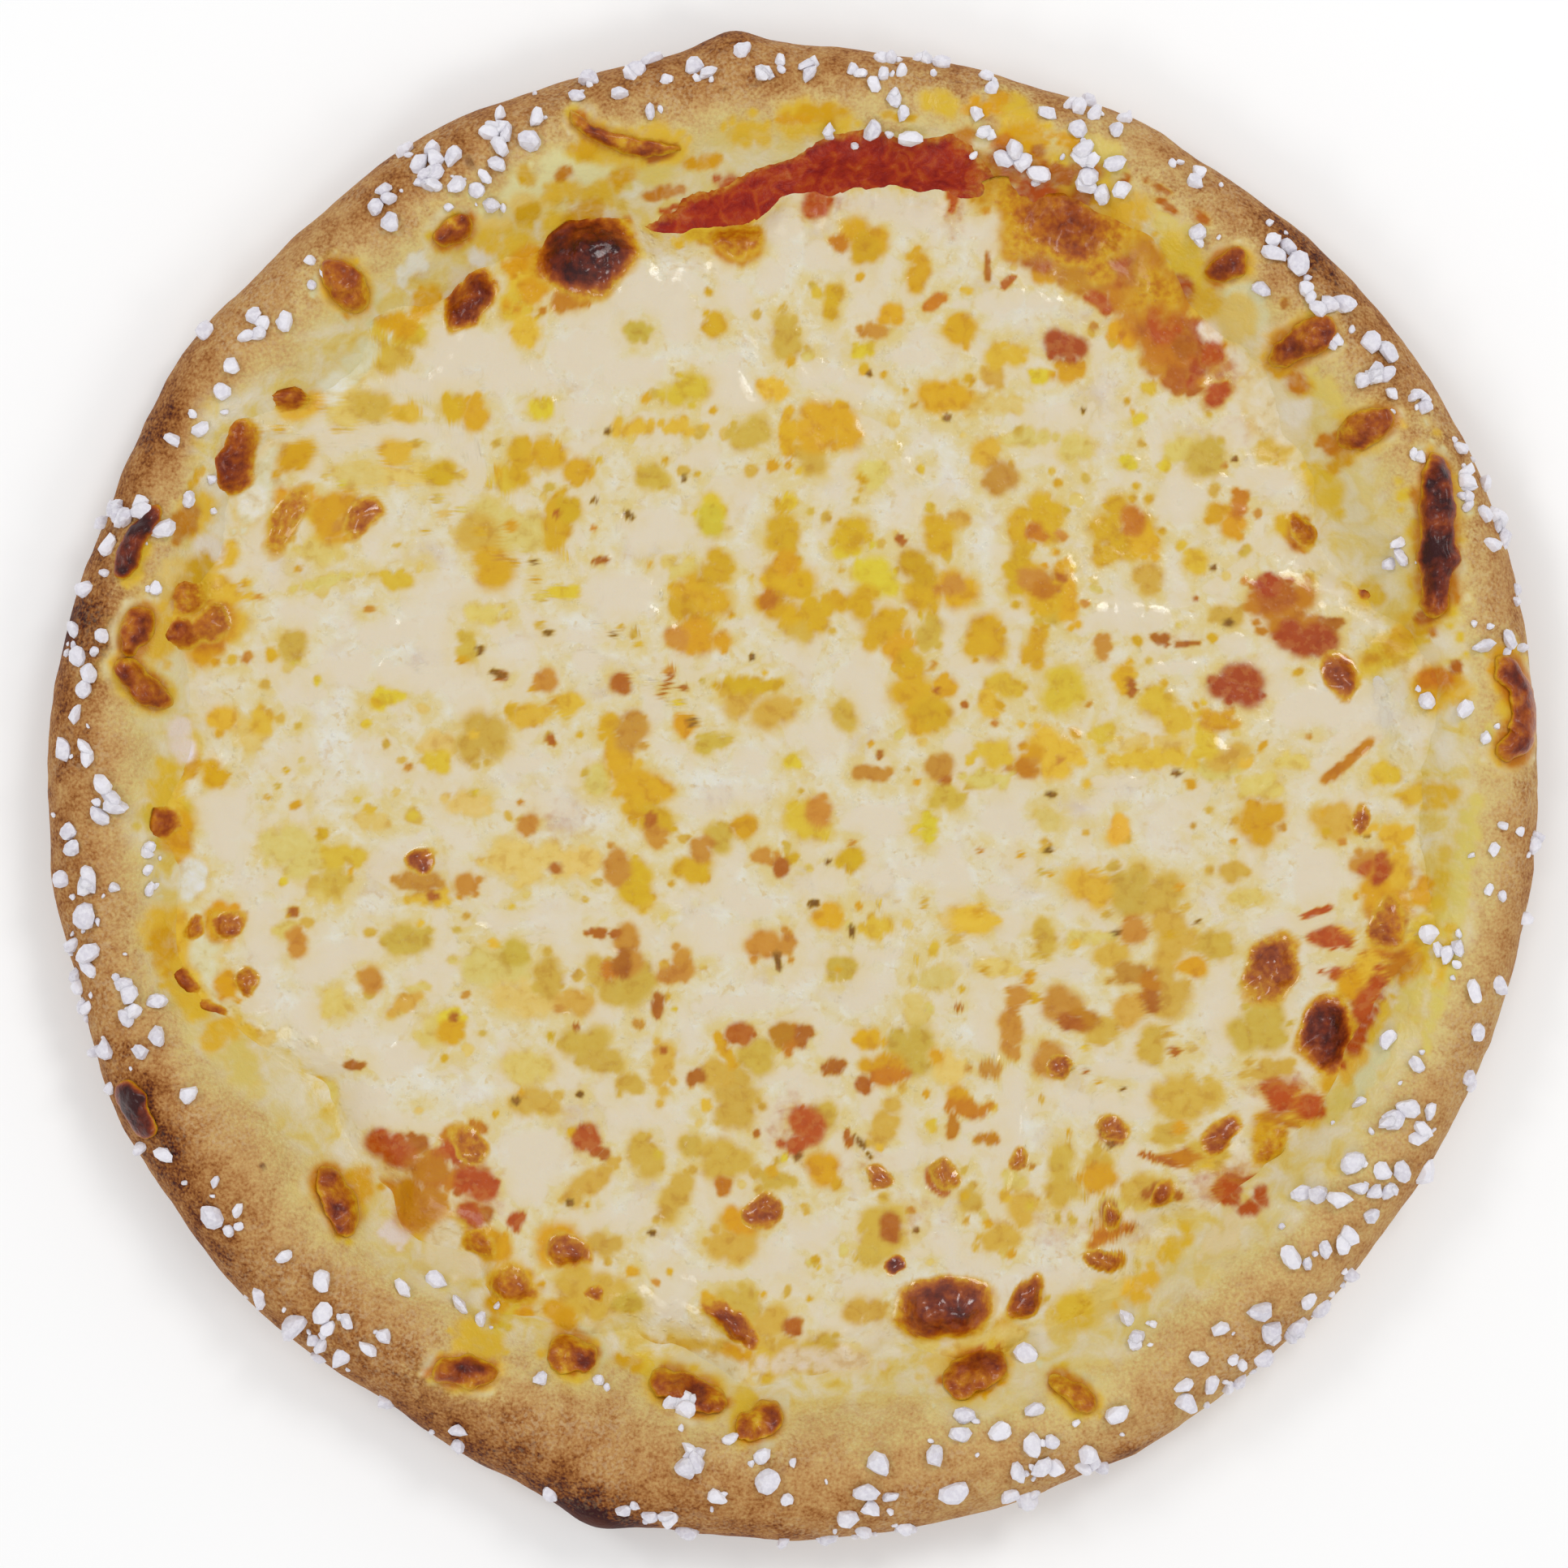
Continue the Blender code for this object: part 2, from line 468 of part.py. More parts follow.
def skin_radii(angle, edge, shares):
    """The given edge, then radii that lie over the dough's own rings, to keep an even gap."""
    radii = [edge]
    for step, share in enumerate(shares, 1):
        radii.append(np.minimum(edge - 0.9 * step, slope_radius(angle, share)))
    return radii


def build_sauce(look, pizza):
    """A turned disc whose rings are moved out to the bare band and laid on the dough.

    On the blank, ring k has radius 100 - 10 k, so a corner's radius tells which ring it is of.
    """
    last = len(SAUCE_SHARES)
    top = [(100 - 10 * ring, 1) for ring in range(last, -1, -1)]
    bottom = [(100 - 10 * ring, 0) for ring in range(last + 1)]

    def lay(x, y, z):
        angle, radius = polar(x, y)
        ring = np.rint((100 - radius) / 10).astype(int)
        radii = skin_radii(angle, sauce_edge(angle) - 0.2 * z, SAUCE_SHARES)
        radii = np.stack(radii + [0 * angle] * (11 - len(radii)))
        new_x, new_y = place(angle, radii[ring, np.arange(len(ring))])
        return new_x, new_y, dough_top(new_x, new_y) + GAP + SAUCE_THICKNESS * z

    mesh = turned("sauce", [(0, 1)] + top + bottom + [(0, 0)], SAUCE_STEPS)
    bend(mesh, lay)
    return add_object("sauce", mesh, look, pizza)


def round_off(bm):
    """The concentric map: bends the square net -1..1 into the disc of the cheese."""
    for vert in bm.verts:
        a, b = vert.co.x, vert.co.y
        reach = max(abs(a), abs(b))
        if reach == 0:
            continue
        if abs(a) >= abs(b):
            angle = 45 * b / a + (0 if a > 0 else 180)
        else:
            angle = 90 - 45 * a / b + (0 if b > 0 else 180)
        vert.co.x, vert.co.y = place(angle, reach * float(cheese_edge(np.float64(angle))))


def refine_blisters(bm):
    """Halves the cells over the blisters, so that the domes are round."""
    edges = []
    for edge in bm.edges:
        middle = (edge.verts[0].co + edge.verts[1].co) / 2
        rise = float(blister_rise(np.float64(middle.x), np.float64(middle.y)))
        if rise > 0.35 and not edge.is_boundary:
            edges.append(edge)
    bmesh.ops.subdivide_edges(bm, edges=edges, cuts=1, use_grid_fill=True)


def build_cheese(look, pizza):
    """A net lifted to the melt; its border is drawn down and in along the dough, and closed."""
    bm = bmesh.new()
    bmesh.ops.create_grid(bm, x_segments=CHEESE_CELLS, y_segments=CHEESE_CELLS, size=1)
    round_off(bm)
    refine_blisters(bm)
    for vert in bm.verts:
        vert.co.z = float(cheese_top(np.float64(vert.co.x), np.float64(vert.co.y)))
    border = [edge for edge in bm.edges if edge.is_boundary]
    for step in range(len(CHEESE_SHARES) + 1):
        drawn = bmesh.ops.extrude_edge_only(bm, edges=border)["geom"]
        border = [item for item in drawn if isinstance(item, bmesh.types.BMEdge)]
        for vert in (item for item in drawn if isinstance(item, bmesh.types.BMVert)):
            angle = polar(vert.co.x, vert.co.y)[0]
            radius = skin_radii(angle, cheese_edge(angle), CHEESE_SHARES)[step]
            x, y = place(angle, radius)
            vert.co = (x, y, float(cheese_bottom(x, y)))
    bmesh.ops.contextual_create(bm, geom=border)
    return add_object("cheese", mesh_of(bm, "cheese"), look, pizza)


def along_path(path, reach):
    """Points (x, y) and headings at the given shares of a smooth line through the places."""
    points = np.array([place(a, r) for a, r in path])
    steps = np.hypot(*np.diff(points, axis=0).T)
    chord = np.concatenate([[0], np.cumsum(steps)])
    at = np.linspace(0, chord[-1], 41)
    line = np.stack([np.interp(at, chord, points[:, axis]) for axis in (0, 1)], 1)
    for _ in range(6):
        line[1:-1] = (line[:-2] + 2 * line[1:-1] + line[2:]) / 4
    heading = np.gradient(line, axis=0)
    heading /= np.hypot(heading[:, 0], heading[:, 1])[:, None]
    where = np.clip(reach * 40, 0, 40)
    x, y, hx, hy = (np.interp(where, np.arange(41), column) for column in (*line.T, *heading.T))
    beyond = (reach - np.clip(reach, 0, 1)) * chord[-1]
    return x + hx * beyond, y + hy * beyond, hx, hy


def build_drop(name, path, width, height, look, pizza):
    """A stray piece of browned cheese.

    A ball is drawn out between its poles along the middle line, and its lower half is pressed
    flat on the dough. Its section keeps its width for most of the length: size = (1 - |t|^3)^(1/2).
    """
    points = np.array([place(a, r) for a, r in path])
    length = float(np.hypot(*np.diff(points, axis=0).T).sum())
    bm = bmesh.new()
    bmesh.ops.create_uvsphere(bm, u_segments=8, v_segments=2 + 2 * len(path), radius=1)
    mesh = mesh_of(bm, name)

    def press(x, y, z):
        t = np.clip(z, -1, 1)
        size = np.sqrt(1 - np.abs(t) ** 3)
        round_size = np.sqrt(np.maximum(1 - t * t, 1e-9))
        across = x / round_size * size * width / 2
        up = np.maximum(y / round_size, 0) * size * height
        reach = 0.5 + t * (length + width) / 2 / length
        line_x, line_y, head_x, head_y = along_path(path, reach)
        new_x = line_x - head_y * across
        new_y = line_y + head_x * across
        return new_x, new_y, dough_top(new_x, new_y) + GAP + up

    bend(mesh, press)
    bm = bmesh.new()
    bm.from_mesh(mesh)
    return add_object(name, mesh_of(bm, name), look, pizza)


def main():
    for obj in list(bpy.data.objects):
        bpy.data.objects.remove(obj)
    pizza = bpy.data.collections.new("cheese_pizza")
    bpy.context.scene.collection.children.link(pizza)
    build_crust(material("crust", (0.56, 0.34, 0.13), 0.75), pizza)
    build_sauce(material("sauce", (0.36, 0.045, 0.016), 0.35), pizza)
    build_cheese(material("cheese", (0.69, 0.52, 0.22), 0.4), pizza)
    brown = np.array((0.36, 0.1, 0.02))
    black = np.array((0.06, 0.018, 0.013))
    for name, path, width, height, char in DROPS:
        look = material(name, tuple(brown + (black - brown) * char), 0.45)
        build_drop(name, path, width, height, look, pizza)


main()
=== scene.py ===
# %% [markdown]
# # A cheese pizza with a salted rim
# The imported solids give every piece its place: the dough, the sauce, the cheese and the stray bits of
# browned cheese on the rim. This lesson dresses them. Each surface is worked out with numpy as a
# function of two parameters, and the finishes are node materials that read Object coordinates and
# attributes stored on the mesh. Lengths are millimetres until a mesh is made.

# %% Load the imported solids
import math
import random

import bmesh
import bpy
import numpy as np
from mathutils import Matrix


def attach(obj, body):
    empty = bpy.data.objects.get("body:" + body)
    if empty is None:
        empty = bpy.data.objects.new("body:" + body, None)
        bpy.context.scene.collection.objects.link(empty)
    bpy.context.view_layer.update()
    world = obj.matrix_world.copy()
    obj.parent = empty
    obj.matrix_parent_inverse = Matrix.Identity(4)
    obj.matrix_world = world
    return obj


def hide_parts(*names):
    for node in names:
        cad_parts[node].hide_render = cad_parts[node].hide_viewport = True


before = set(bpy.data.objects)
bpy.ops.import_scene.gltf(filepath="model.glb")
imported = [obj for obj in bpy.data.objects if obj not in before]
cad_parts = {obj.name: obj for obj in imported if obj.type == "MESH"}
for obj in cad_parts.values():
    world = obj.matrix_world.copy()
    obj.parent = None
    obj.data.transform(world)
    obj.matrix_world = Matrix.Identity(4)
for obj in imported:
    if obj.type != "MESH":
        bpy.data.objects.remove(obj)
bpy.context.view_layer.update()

MM = 0.001

# %% [markdown]
# ## The form of the whole pizza
# A hand-stretched pizza is round only by and large. One function of the angle gives its outline, another
# the edge of the cheese, and the rim's width and height follow from the two. They are the same named
# sizes as in the solids, so that each surface here lies where its solid does.

# %% Sizes and swellings
PIZZA_RADIUS = 126.8
FLOOR_HEIGHT = 5.0
WIDEST_HEIGHT = 7.2
CREST_AT = 0.42
RIM_LOW = 11.5
RIM_RISE = 0.24
SLOPE_UNDER_CHEESE = 7.0
BASE_INSET = 9.0
CHEESE_RADIUS = 102.5
CHEESE_LEVEL = 9.3
SAUCE_SPACE = 1.15
GAP_START, GAP_END = 66, 106    # degrees, where the sauce shows between cheese and rim

# (angle, millimetres, width in degrees)
OUTLINE_LOBES = (
    (35, 2.2, 22), (63, 1.5, 5), (94.5, 2.5, 3.5), (120, 1.3, 8), (143, 1, 6), (160, -0.8, 5), (195, -0.7, 5),
    (207, 0.8, 5), (236, -1.9, 7), (255, 2.4, 4), (268, 0.7, 8), (325, -1.2, 22),
)
CHEESE_LOBES = (
    (25, -1, 8), (50, 3.5, 12), (65, 5, 5), (76, 4, 6), (90, 0.8, 7), (100, -3, 5), (110, 1.5, 6),
    (123, -1, 5), (150, 6.5, 9), (170, 1, 8), (195.5, 8, 6.5), (212, -5.5, 6), (222, -4.5, 6),
    (236, -6, 6), (249, -6, 6), (265, -4, 10), (281, -5, 5), (288, -3, 6), (300, 1.5, 6),
    (310, -3, 4), (333, 3, 10), (352, 5, 8),
)


def lobes(angle, table):
    """Sum of smooth swellings round the pizza: height * exp(-(distance / width)^2)."""
    total = np.zeros_like(angle, dtype=float)
    for centre, height, width in table:
        away = (angle - centre + 180) % 360 - 180
        total = total + height * np.exp(-(away / width) ** 2)
    return total


def smooth(t):
    """0 below 0, 1 above 1 and an even S between them."""
    t = np.clip(t, 0, 1)
    return t * t * (3 - 2 * t)


def within(angle, start, end, soft):
    """1 between two angles, with a soft step of the given width inside each of them, and 0 beyond."""
    return smooth((angle - start) / soft) * smooth((end - angle) / soft)


def outline(angle):
    return PIZZA_RADIUS + lobes(angle, OUTLINE_LOBES)


def cheese_edge(angle):
    return CHEESE_RADIUS + lobes(angle, CHEESE_LOBES)


def rim_width(angle):
    """The rim follows the edge of the cheese, but less strongly."""
    return 8 + 0.7 * (outline(angle) - cheese_edge(angle))


def rim_height(angle):
    waves = 0.5 * np.sin(np.radians(3 * angle + 40)) + 0.4 * np.sin(np.radians(7 * angle + 10))
    return RIM_LOW + RIM_RISE * rim_width(angle) + waves


def polar(x, y):
    return np.degrees(np.arctan2(y, x)) % 360, np.hypot(x, y)


def place(angle, radius):
    turn = np.radians(angle)
    return radius * np.cos(turn), radius * np.sin(turn)


def dough_top(x, y):
    """Height of the dough: a quarter ellipse up to the crest, then a cosine slope to the floor."""
    angle, radius = polar(x, y)
    inside = np.maximum(outline(angle) - radius, 0)
    width = rim_width(angle)
    crest = CREST_AT * width
    height = rim_height(angle)
    climb = np.clip(inside / crest, 0, 1)
    outer = WIDEST_HEIGHT + (height - WIDEST_HEIGHT) * np.sqrt(1 - (1 - climb) ** 2)
    fall = np.clip((inside - crest) / (width + SLOPE_UNDER_CHEESE - crest), 0, 1)
    inner = FLOOR_HEIGHT + (height - FLOOR_HEIGHT) * (0.5 + 0.5 * np.cos(np.pi * fall))
    return np.where(inside < crest, outer, inner)


print("rim height at 0, 90, 180, 270:", np.round(rim_height(np.array([0.0, 90, 180, 270])), 1))

# %% [markdown]
# ## Unevenness
# Nothing baked is smooth. A noise is a random height at each corner of a lattice, blended between the
# corners; several sizes of it laid on each other look like dough or melted cheese. It is written with
# whole arrays, so that a hundred thousand points take a moment, and its corners are hashed numbers, so
# that every run gives the same pizza.

# %% Noise for shapes


def corner_value(i, j, k, seed):
    """A number from -1 to 1 that depends only on the lattice corner and the seed."""
    mixed = (i * 374761393 + j * 668265263 + k * 2147483647 + seed * 974711) & 0xFFFFFFFF
    mixed = ((mixed ^ (mixed >> 13)) * 1274126177) & 0xFFFFFFFF
    mixed = ((mixed ^ (mixed >> 16)) * 2246822519) & 0xFFFFFFFF
    return (mixed ^ (mixed >> 15)).astype(float) / 0x7FFFFFFF - 1


def ripple(x, y, z, size, seed):
    """Value noise with bumps of one size: the eight corner values of a cube blended by S curves."""
    i, fx = np.divmod(np.asarray(x, float) / size, 1)
    j, fy = np.divmod(np.asarray(y, float) / size, 1)
    k, fz = np.divmod(np.asarray(z, float) / size + 0 * fx, 1)
    i, j, k = i.astype(np.int64), j.astype(np.int64), k.astype(np.int64)
    fx, fy, fz = smooth(fx), smooth(fy), smooth(fz)
    total = 0
    for dx in (0, 1):
        for dy in (0, 1):
            for dz in (0, 1):
                share = (fx if dx else 1 - fx) * (fy if dy else 1 - fy) * (fz if dz else 1 - fz)
                total = total + share * corner_value(i + dx, j + dy, k + dz, seed)
    return total


def rough(x, y, z, size, seed, layers=3):
    """Ripples of halving size and height laid on each other."""
    total, weight = 0, 1.0
    for layer in range(layers):
        total = total + weight * ripple(x, y, z, size / 2**layer, seed + 17 * layer)
        weight /= 2
    return total


print("noise spread:", round(float(np.std(rough(*np.random.default_rng(1).random((3, 999)) * 90, 7, 1))), 2))

# %% [markdown]
# ## From a grid to a mesh
# A surface that closes on itself round the pizza is a grid of rings. Neighbouring corners make the
# faces, the last column meets the first, and the first and last ring run together into a single point
# each, so that the skin is closed. Numbers kept for the material, such as how far a place is baked,
# are stored on the corners as attributes.

# %% Mesh helpers


def store(mesh, name, values):
    """Keeps one number or one colour per corner of the mesh for the material to read."""
    if values.ndim == 1:
        layer = mesh.attributes.new(name, "FLOAT", "POINT")
        layer.data.foreach_set("value", values.astype(np.float32))
    else:
        layer = mesh.attributes.new(name, "FLOAT_COLOR", "POINT")
        rgba = np.concatenate([values, np.ones((len(values), 1))], 1)
        layer.data.foreach_set("color", rgba.astype(np.float32).ravel())


def add_piece(name, points, faces, attributes, look, replaced, flat=False):
    """Makes the mesh in metres, hangs it on the root body, and hides the solids that it replaces."""
    mesh = bpy.data.meshes.new(name)
    mesh.from_pydata((points * MM).tolist(), [], faces)
    mesh.polygons.foreach_set("use_smooth", [not flat] * len(mesh.polygons))
    for key, values in attributes.items():
        store(mesh, key, values)
    mesh.materials.append(look)
    mesh.update()
    piece = bpy.data.objects.new(name, mesh)
    bpy.context.scene.collection.objects.link(piece)
    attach(piece, "root")
    if replaced:
        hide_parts(*replaced)
    mesh.calc_loop_triangles()
    print(f"{name}: {len(mesh.loop_triangles)} triangles")


def ring_faces(rows, columns):
    """Four-sided faces between neighbouring rings; corner (row, column) has number row * columns + column."""
    row, column = np.meshgrid(np.arange(rows - 1), np.arange(columns), indexing="ij")
    beside = (column + 1) % columns
    first = row * columns + column
    second = row * columns + beside
    return np.stack([first, second, second + columns, first + columns], -1).reshape(-1, 4).tolist()


def closed_skin(rings, start, end):
    """Points and faces of a stack of rings whose first and last ring close on the points given."""
    rows, columns = rings.shape[:2]
    points = np.concatenate([rings.reshape(-1, 3), [start, end]])
    faces = ring_faces(rows, columns)
    here = np.arange(columns)
    after = (here + 1) % columns
    low, high = rows * columns, rows * columns + 1
    top = (rows - 1) * columns
    faces += np.stack([after, here, np.full(columns, low)], 1).tolist()
    faces += np.stack([top + here, top + after, np.full(columns, high)], 1).tolist()
    return points, faces


def whole_turn(columns):
    """Evenly spaced angles, as one row."""
    return np.linspace(0, 360, columns, endpoint=False)[None, :]


def around(values, start, end):
    """The attribute of a closed skin: the rings' values, then those of its two end points."""
    return np.concatenate([values.reshape(-1, *values.shape[2:]), [start, end]])


print("helpers ready")

# %% [markdown]
# ## Painting with dabs
# Browned cheese comes in small patches with lumpy outlines, as if many round dabs ran together. Each
# patch in the tables below has a place, a size and the name of a colour, and is filled with dabs at
# seeded places. A dab is a bell exp(-ln 2 (d / r)^2), which is one half at its radius; the patches'
# field is the highest bell at each corner. The material cuts the field at one half, with fine noise
# added, so that the outline of a patch is sharper than the mesh.

# %% Colours, as the eye sees them in daylight
LIT = 1.06            # how much brighter the lamps show a surface than its own colour
SHEEN = 0.015         # what the reflected sky adds to every colour
COLOURS = {
    "pale": (0.71, 0.605, 0.35), "cream": (0.725, 0.63, 0.455), "white": (0.75, 0.665, 0.52),
    "straw": (0.7, 0.525, 0.14), "lemon": (0.715, 0.535, 0.04), "ochre": (0.62, 0.4, 0.06),
    "gold": (0.7, 0.45, 0.042), "honey": (0.66, 0.38, 0.02), "amber": (0.65, 0.335, 0.012),
    "peach": (0.57, 0.26, 0.038), "orange": (0.54, 0.2, 0.014), "toast": (0.43, 0.13, 0.01),
    "rust": (0.4, 0.07, 0.004), "tomato": (0.455, 0.088, 0.01), "dark": (0.22, 0.1, 0.016),
}

# colour: (x, y, length, width, turn) of each patch on the cheese; the turn is left out where it is none
CHEESE_PATCHES = {
    "straw": (
        (-65, 54, 17, 4), (-74, 54, 9, 4), (-76, 67, 5, 12), (-48, 45, 15, 10), (-79, 41, 9, 5),
        (-78, 72, 8, 5), (-80, 35.5, 12, 2, 15), (-53, 30, 8, 4), (-18, 37, 5, 4), (-85, -10, 12, 9),
        (-79, -17, 6, 4), (-72, -5, 6, 3), (-55, -2, 8, 4), (-45, -12, 14, 8), (-36, -12, 8, 5),
        (-50, -30, 13, 8), (-45, -35, 12, 8), (-86, -24, 5, 4), (-77, -36, 7, 5), (-45, -47, 8, 6),
        (-80, -51, 5, 4), (-91, -42, 6, 3), (24, -31.5, 7, 4), (34, -30, 7, 3), (21, -37, 4, 6),
        (27, -47, 6, 6), (38, -66, 5, 4), (57, -70, 9, 3), (23, -95, 4, 8), (50, -25, 7, 3), (77, -18, 6, 3),
        (72, 4, 9, 4), (80, 1, 9, 5), (48, 58, 5, 6), (67, 58, 7, 4), (43, -5, 5, 4), (28, -22, 7, 5),
        (85, 5, 6, 3), (30, 66, 16, 4), (14, 54, 6, 5), (62, 8, 12, 3), (-60, 8, 7, 5), (-92, 10, 6, 5),
        (-60, -40, 8, 6), (-66, -36, 8, 3, 40), (40, 60, 8, 3), (-33, 2, 5, 5), (33, 2, 8, 3),
    ),
    "lemon": (
        (-39, 34, 6, 2.6), (-14, 48, 6, 6), (-43, 64.5, 6, 4), (9, 41, 6, 4), (14, 36, 11, 7), (57, 56, 3, 3),
        (42, 70.5, 4, 3), (-69, 15.5, 6, 4), (12, 75, 4, 3), (0, 5, 3, 3), (23, -7, 3, 5), (61, -83, 4, 4),
        (44, 47, 6, 4), (-58, -38.5, 4, 3), (8, 64, 6, 4), (-1, 49, 3, 3),
    ),
    "ochre": (
        (74, 6, 8, 5), (-12, -8, 6, 5), (-14, 8, 6, 4), (54, -28, 6, 5), (72, -26, 7, 5), (46, -68, 7, 5),
        (12, -88, 7, 5), (-30, -34, 6, 5), (60, 36, 6, 5), (74, 30, 6, 4), (28, 46, 6, 4), (8, -30, 6, 4),
        (-71.5, 65.5, 6, 6), (-69, 73.5, 9, 5), (-53, 43, 8, 7), (-24, 53, 6, 5), (-7.5, 61, 8, 6),
        (-1, 77, 5, 9), (-55.5, 24.5, 4, 5), (-85, 25, 5, 5), (-6, 15, 14, 7, -15), (2, 28, 9, 5),
        (-53, 9, 8, 10), (-26.5, 78, 5, 3.5), (-78, -14, 6, 6), (-66, -25, 9, 5), (-41, -31, 6, 8),
        (-48, -27, 6, 5), (-27, -32, 9, 8), (-33, -30, 5, 6), (-37, -36, 6, 5), (-35, -43, 9, 7, -20),
        (-32, -46, 7, 4), (-44, -53, 10, 5), (-66, -36, 6, 3, 40), (-22, -47, 4, 10), (-28, -50, 5, 4),
        (-6, -45, 8, 6), (-11, -52, 11, 11), (-17, -60, 5, 4), (-12, -62, 11, 7), (-25, -62, 5.5, 9, 15),
        (-35, -67, 10, 4.5, 35), (-20, -69, 4.5, 10, -30), (-3, -66, 6, 3.5), (-10, -76, 9, 9),
        (-32, -77, 6, 5), (-34.5, -85, 14, 10), (-28, -87, 5, 4), (-10, -88, 12, 9), (-3, -90, 7, 5),
        (-2, -95, 9, 5), (-18, -95, 19, 4), (26, -1, 6, 5), (60, -18, 14, 11), (64, -26, 9, 12),
        (57, -17, 8, 7), (74, -13.5, 6, 4), (42.5, -25, 4, 7), (64, -35, 7, 11), (57, -37, 6, 6),
        (53, -41, 7, 5), (61, -43, 5, 6), (20, -44, 9, 9), (5, -56, 7, 6), (16, -56, 4, 10, -25),
        (67, -52, 12, 8), (64, -58, 6, 4), (79, -40, 12, 10), (81, -47.5, 9, 4), (46, -63, 5, 6),
        (52, -65, 5, 8), (60, -68, 9, 5), (39, -71, 6, 6), (30, -69, 4, 5), (35, -76, 8, 5, 10),
        (15, -74, 8, 10), (5, -96, 9, 9), (70, -62, 8, 5), (82, 58, 7, 5), (70, 57, 8, 7), (23, 27, 5, 7),
        (44, 30, 6, 4), (9, 13, 5, 6), (34, 71, 4, 5), (3, 57, 6, 7), (-72, -32, 5, 5), (92, -5, 8, 6),
        (31, -90, 5, 5), (-13, -48, 7, 5), (13, -79, 5, 4), (62, 16, 5, 4),
    ),
    "gold": (
        (-46, 88, 5, 9), (-47, 83, 6, 6), (-45, 78, 5, 5), (-73, 79, 8, 5), (-72, 75, 8, 6), (-66, 64, 5, 4),
        (-68, 57.5, 6, 5), (-49, 53, 6, 5), (-24, 62, 14, 3), (-18, 68, 8, 6), (-14, 46, 5, 5), (-67, 36, 6, 4),
        (-45, 13, 9, 4), (-38, 15, 5, 4), (-60, 5, 5, 4), (-28, 4, 6, 7), (-97, 12, 5, 6), (-90, 12, 4, 5),
        (-98, 29, 11, 12), (-97, 40, 6, 5), (-104, 38, 6, 3), (-3, 68, 6, 4), (36, 74, 7, 5), (36, 18, 7, 4),
        (33, 15, 4, 5), (45, 17, 8, 8, 35), (44, 6, 13, 9, -30), (34, 6, 8, 5), (53, 10, 5, 4),
        (60, 5.5, 14, 4), (62, 15, 6, 6), (65, 12, 5, 5), (68, 39, 5, 5), (31, -22, 8, 6), (14.5, -23, 6, 4),
        (50, -17, 8, 8), (55, -6, 4, 6), (-62, -18, 7, 3), (-76, -11, 8, 4), (-26, -18, 6, 5), (3, -5, 8, 9),
        (92, -24.5, 6, 3.5), (33, 58, 5, 6), (47, -89, 7, 6), (-5, -98, 5, 6), (-80, 46, 6, 8), (92, 54, 5, 5),
        (-101, -37, 8, 4, -15), (-95, -40, 9, 4, -25), (-86, -50, 9, 4), (-63, -76.5, 5, 4), (-58, -74, 6, 6),
        (-66, 78, 8, 5), (101, 3, 6, 4), (70, 9, 4, 9),
    ),
    "honey": (
        (-57.5, 65, 5, 5), (-54, 64, 5, 6), (-46, 56, 5, 8), (-41.5, 57, 6, 6), (-36.5, 54, 5, 5),
        (-59.5, 54, 6, 4.5), (-40, 45, 4.5, 10), (-51, 38, 8, 7), (-38, 48, 5, 4), (-13.5, 79, 4, 5),
        (-15, 33, 12, 8), (-13, 38, 6, 7), (-2, 43, 6, 9), (-1, 34, 9, 12), (-8, 18, 10, 3), (-25, 1, 10, 8),
        (-27, -3, 5, 5), (-31, 11, 4, 6), (-30, 6, 4, 6), (-17, -13, 8, 5), (-27, -15, 7, 8), (-23, -5, 7, 6),
        (6, -21.5, 5, 5), (7, 83, 4, 6), (16.5, 81, 5, 4), (12.5, 94, 8, 8), (21.5, 88, 4, 8), (28, 78, 6, 6),
        (25, 67, 10, 6), (6, 62, 12, 9), (24, 44, 7, 9), (42, 46, 10, 9), (38, 45, 4, 6), (56, 45, 12, 12),
        (53, 40, 5, 4), (60, 42, 5, 6), (10, 44, 7, 6), (22, 34, 7, 8), (28, 35, 7, 8), (38, 37, 5, 10),
        (46, 34, 4, 13, 8), (42, 34, 7, 9), (7, 32, 5, 4), (16, 28, 8, 7), (14, 26, 4, 5), (18, 24, 6, 5),
        (20, 21, 5, 6), (33, 26, 6, 8), (31, 25, 4, 5), (41, 24, 4.5, 7), (21, 15, 10, 11), (26, 18, 5, 4),
        (56, 20, 4, 6), (24, 13, 7, 5), (-16, 28, 6, 4), (10, -11.5, 5, 4), (4, 31, 5, 8), (12, 32, 6, 6),
        (13, -42, 5, 4), (84, 45, 4, 5), (-1, 60, 3, 8),
    ),
    "amber": (
        (-84, 50, 9, 5), (72, 12, 6, 4), (-8, -6, 5, 4), (68, -30, 5, 4), (52, -66, 6, 5), (28, -52, 4, 4),
        (-87, 45, 5, 7), (-77, 47, 9, 8), (-67, 79, 6, 4), (-15, 26, 10, 6), (-19, 31, 4, 4), (-4, 32, 5, 5),
        (21, 38, 7, 6), (-58, -41, 5, 4), (15, -47, 9, 5, -10), (-11.5, -44, 8, 2.4, -60),
        (-9, -72.5, 7, 4, -35), (5, -64, 6, 6), (72, 47, 4, 4), (75, 45, 4, 5), (-53, -77, 8, 6),
        (-40, -77.5, 9, 7), (-47.5, -84, 9, 8), (-47, -89, 6, 5), (-62, -73, 10, 8), (-20, -97, 11, 4),
        (104, -28, 5, 9), (92, -51, 5, 7), (80, -58, 6, 7), (36, -92, 5, 5), (48, -98, 9, 4), (40, 6, 5, 4),
        (12, 92, 5, 5), (47, 71.5, 7, 4), (-18, 11.5, 4, 4), (-97, 33, 6, 7), (-103, 4, 4, 6), (-98, 3, 5, 5),
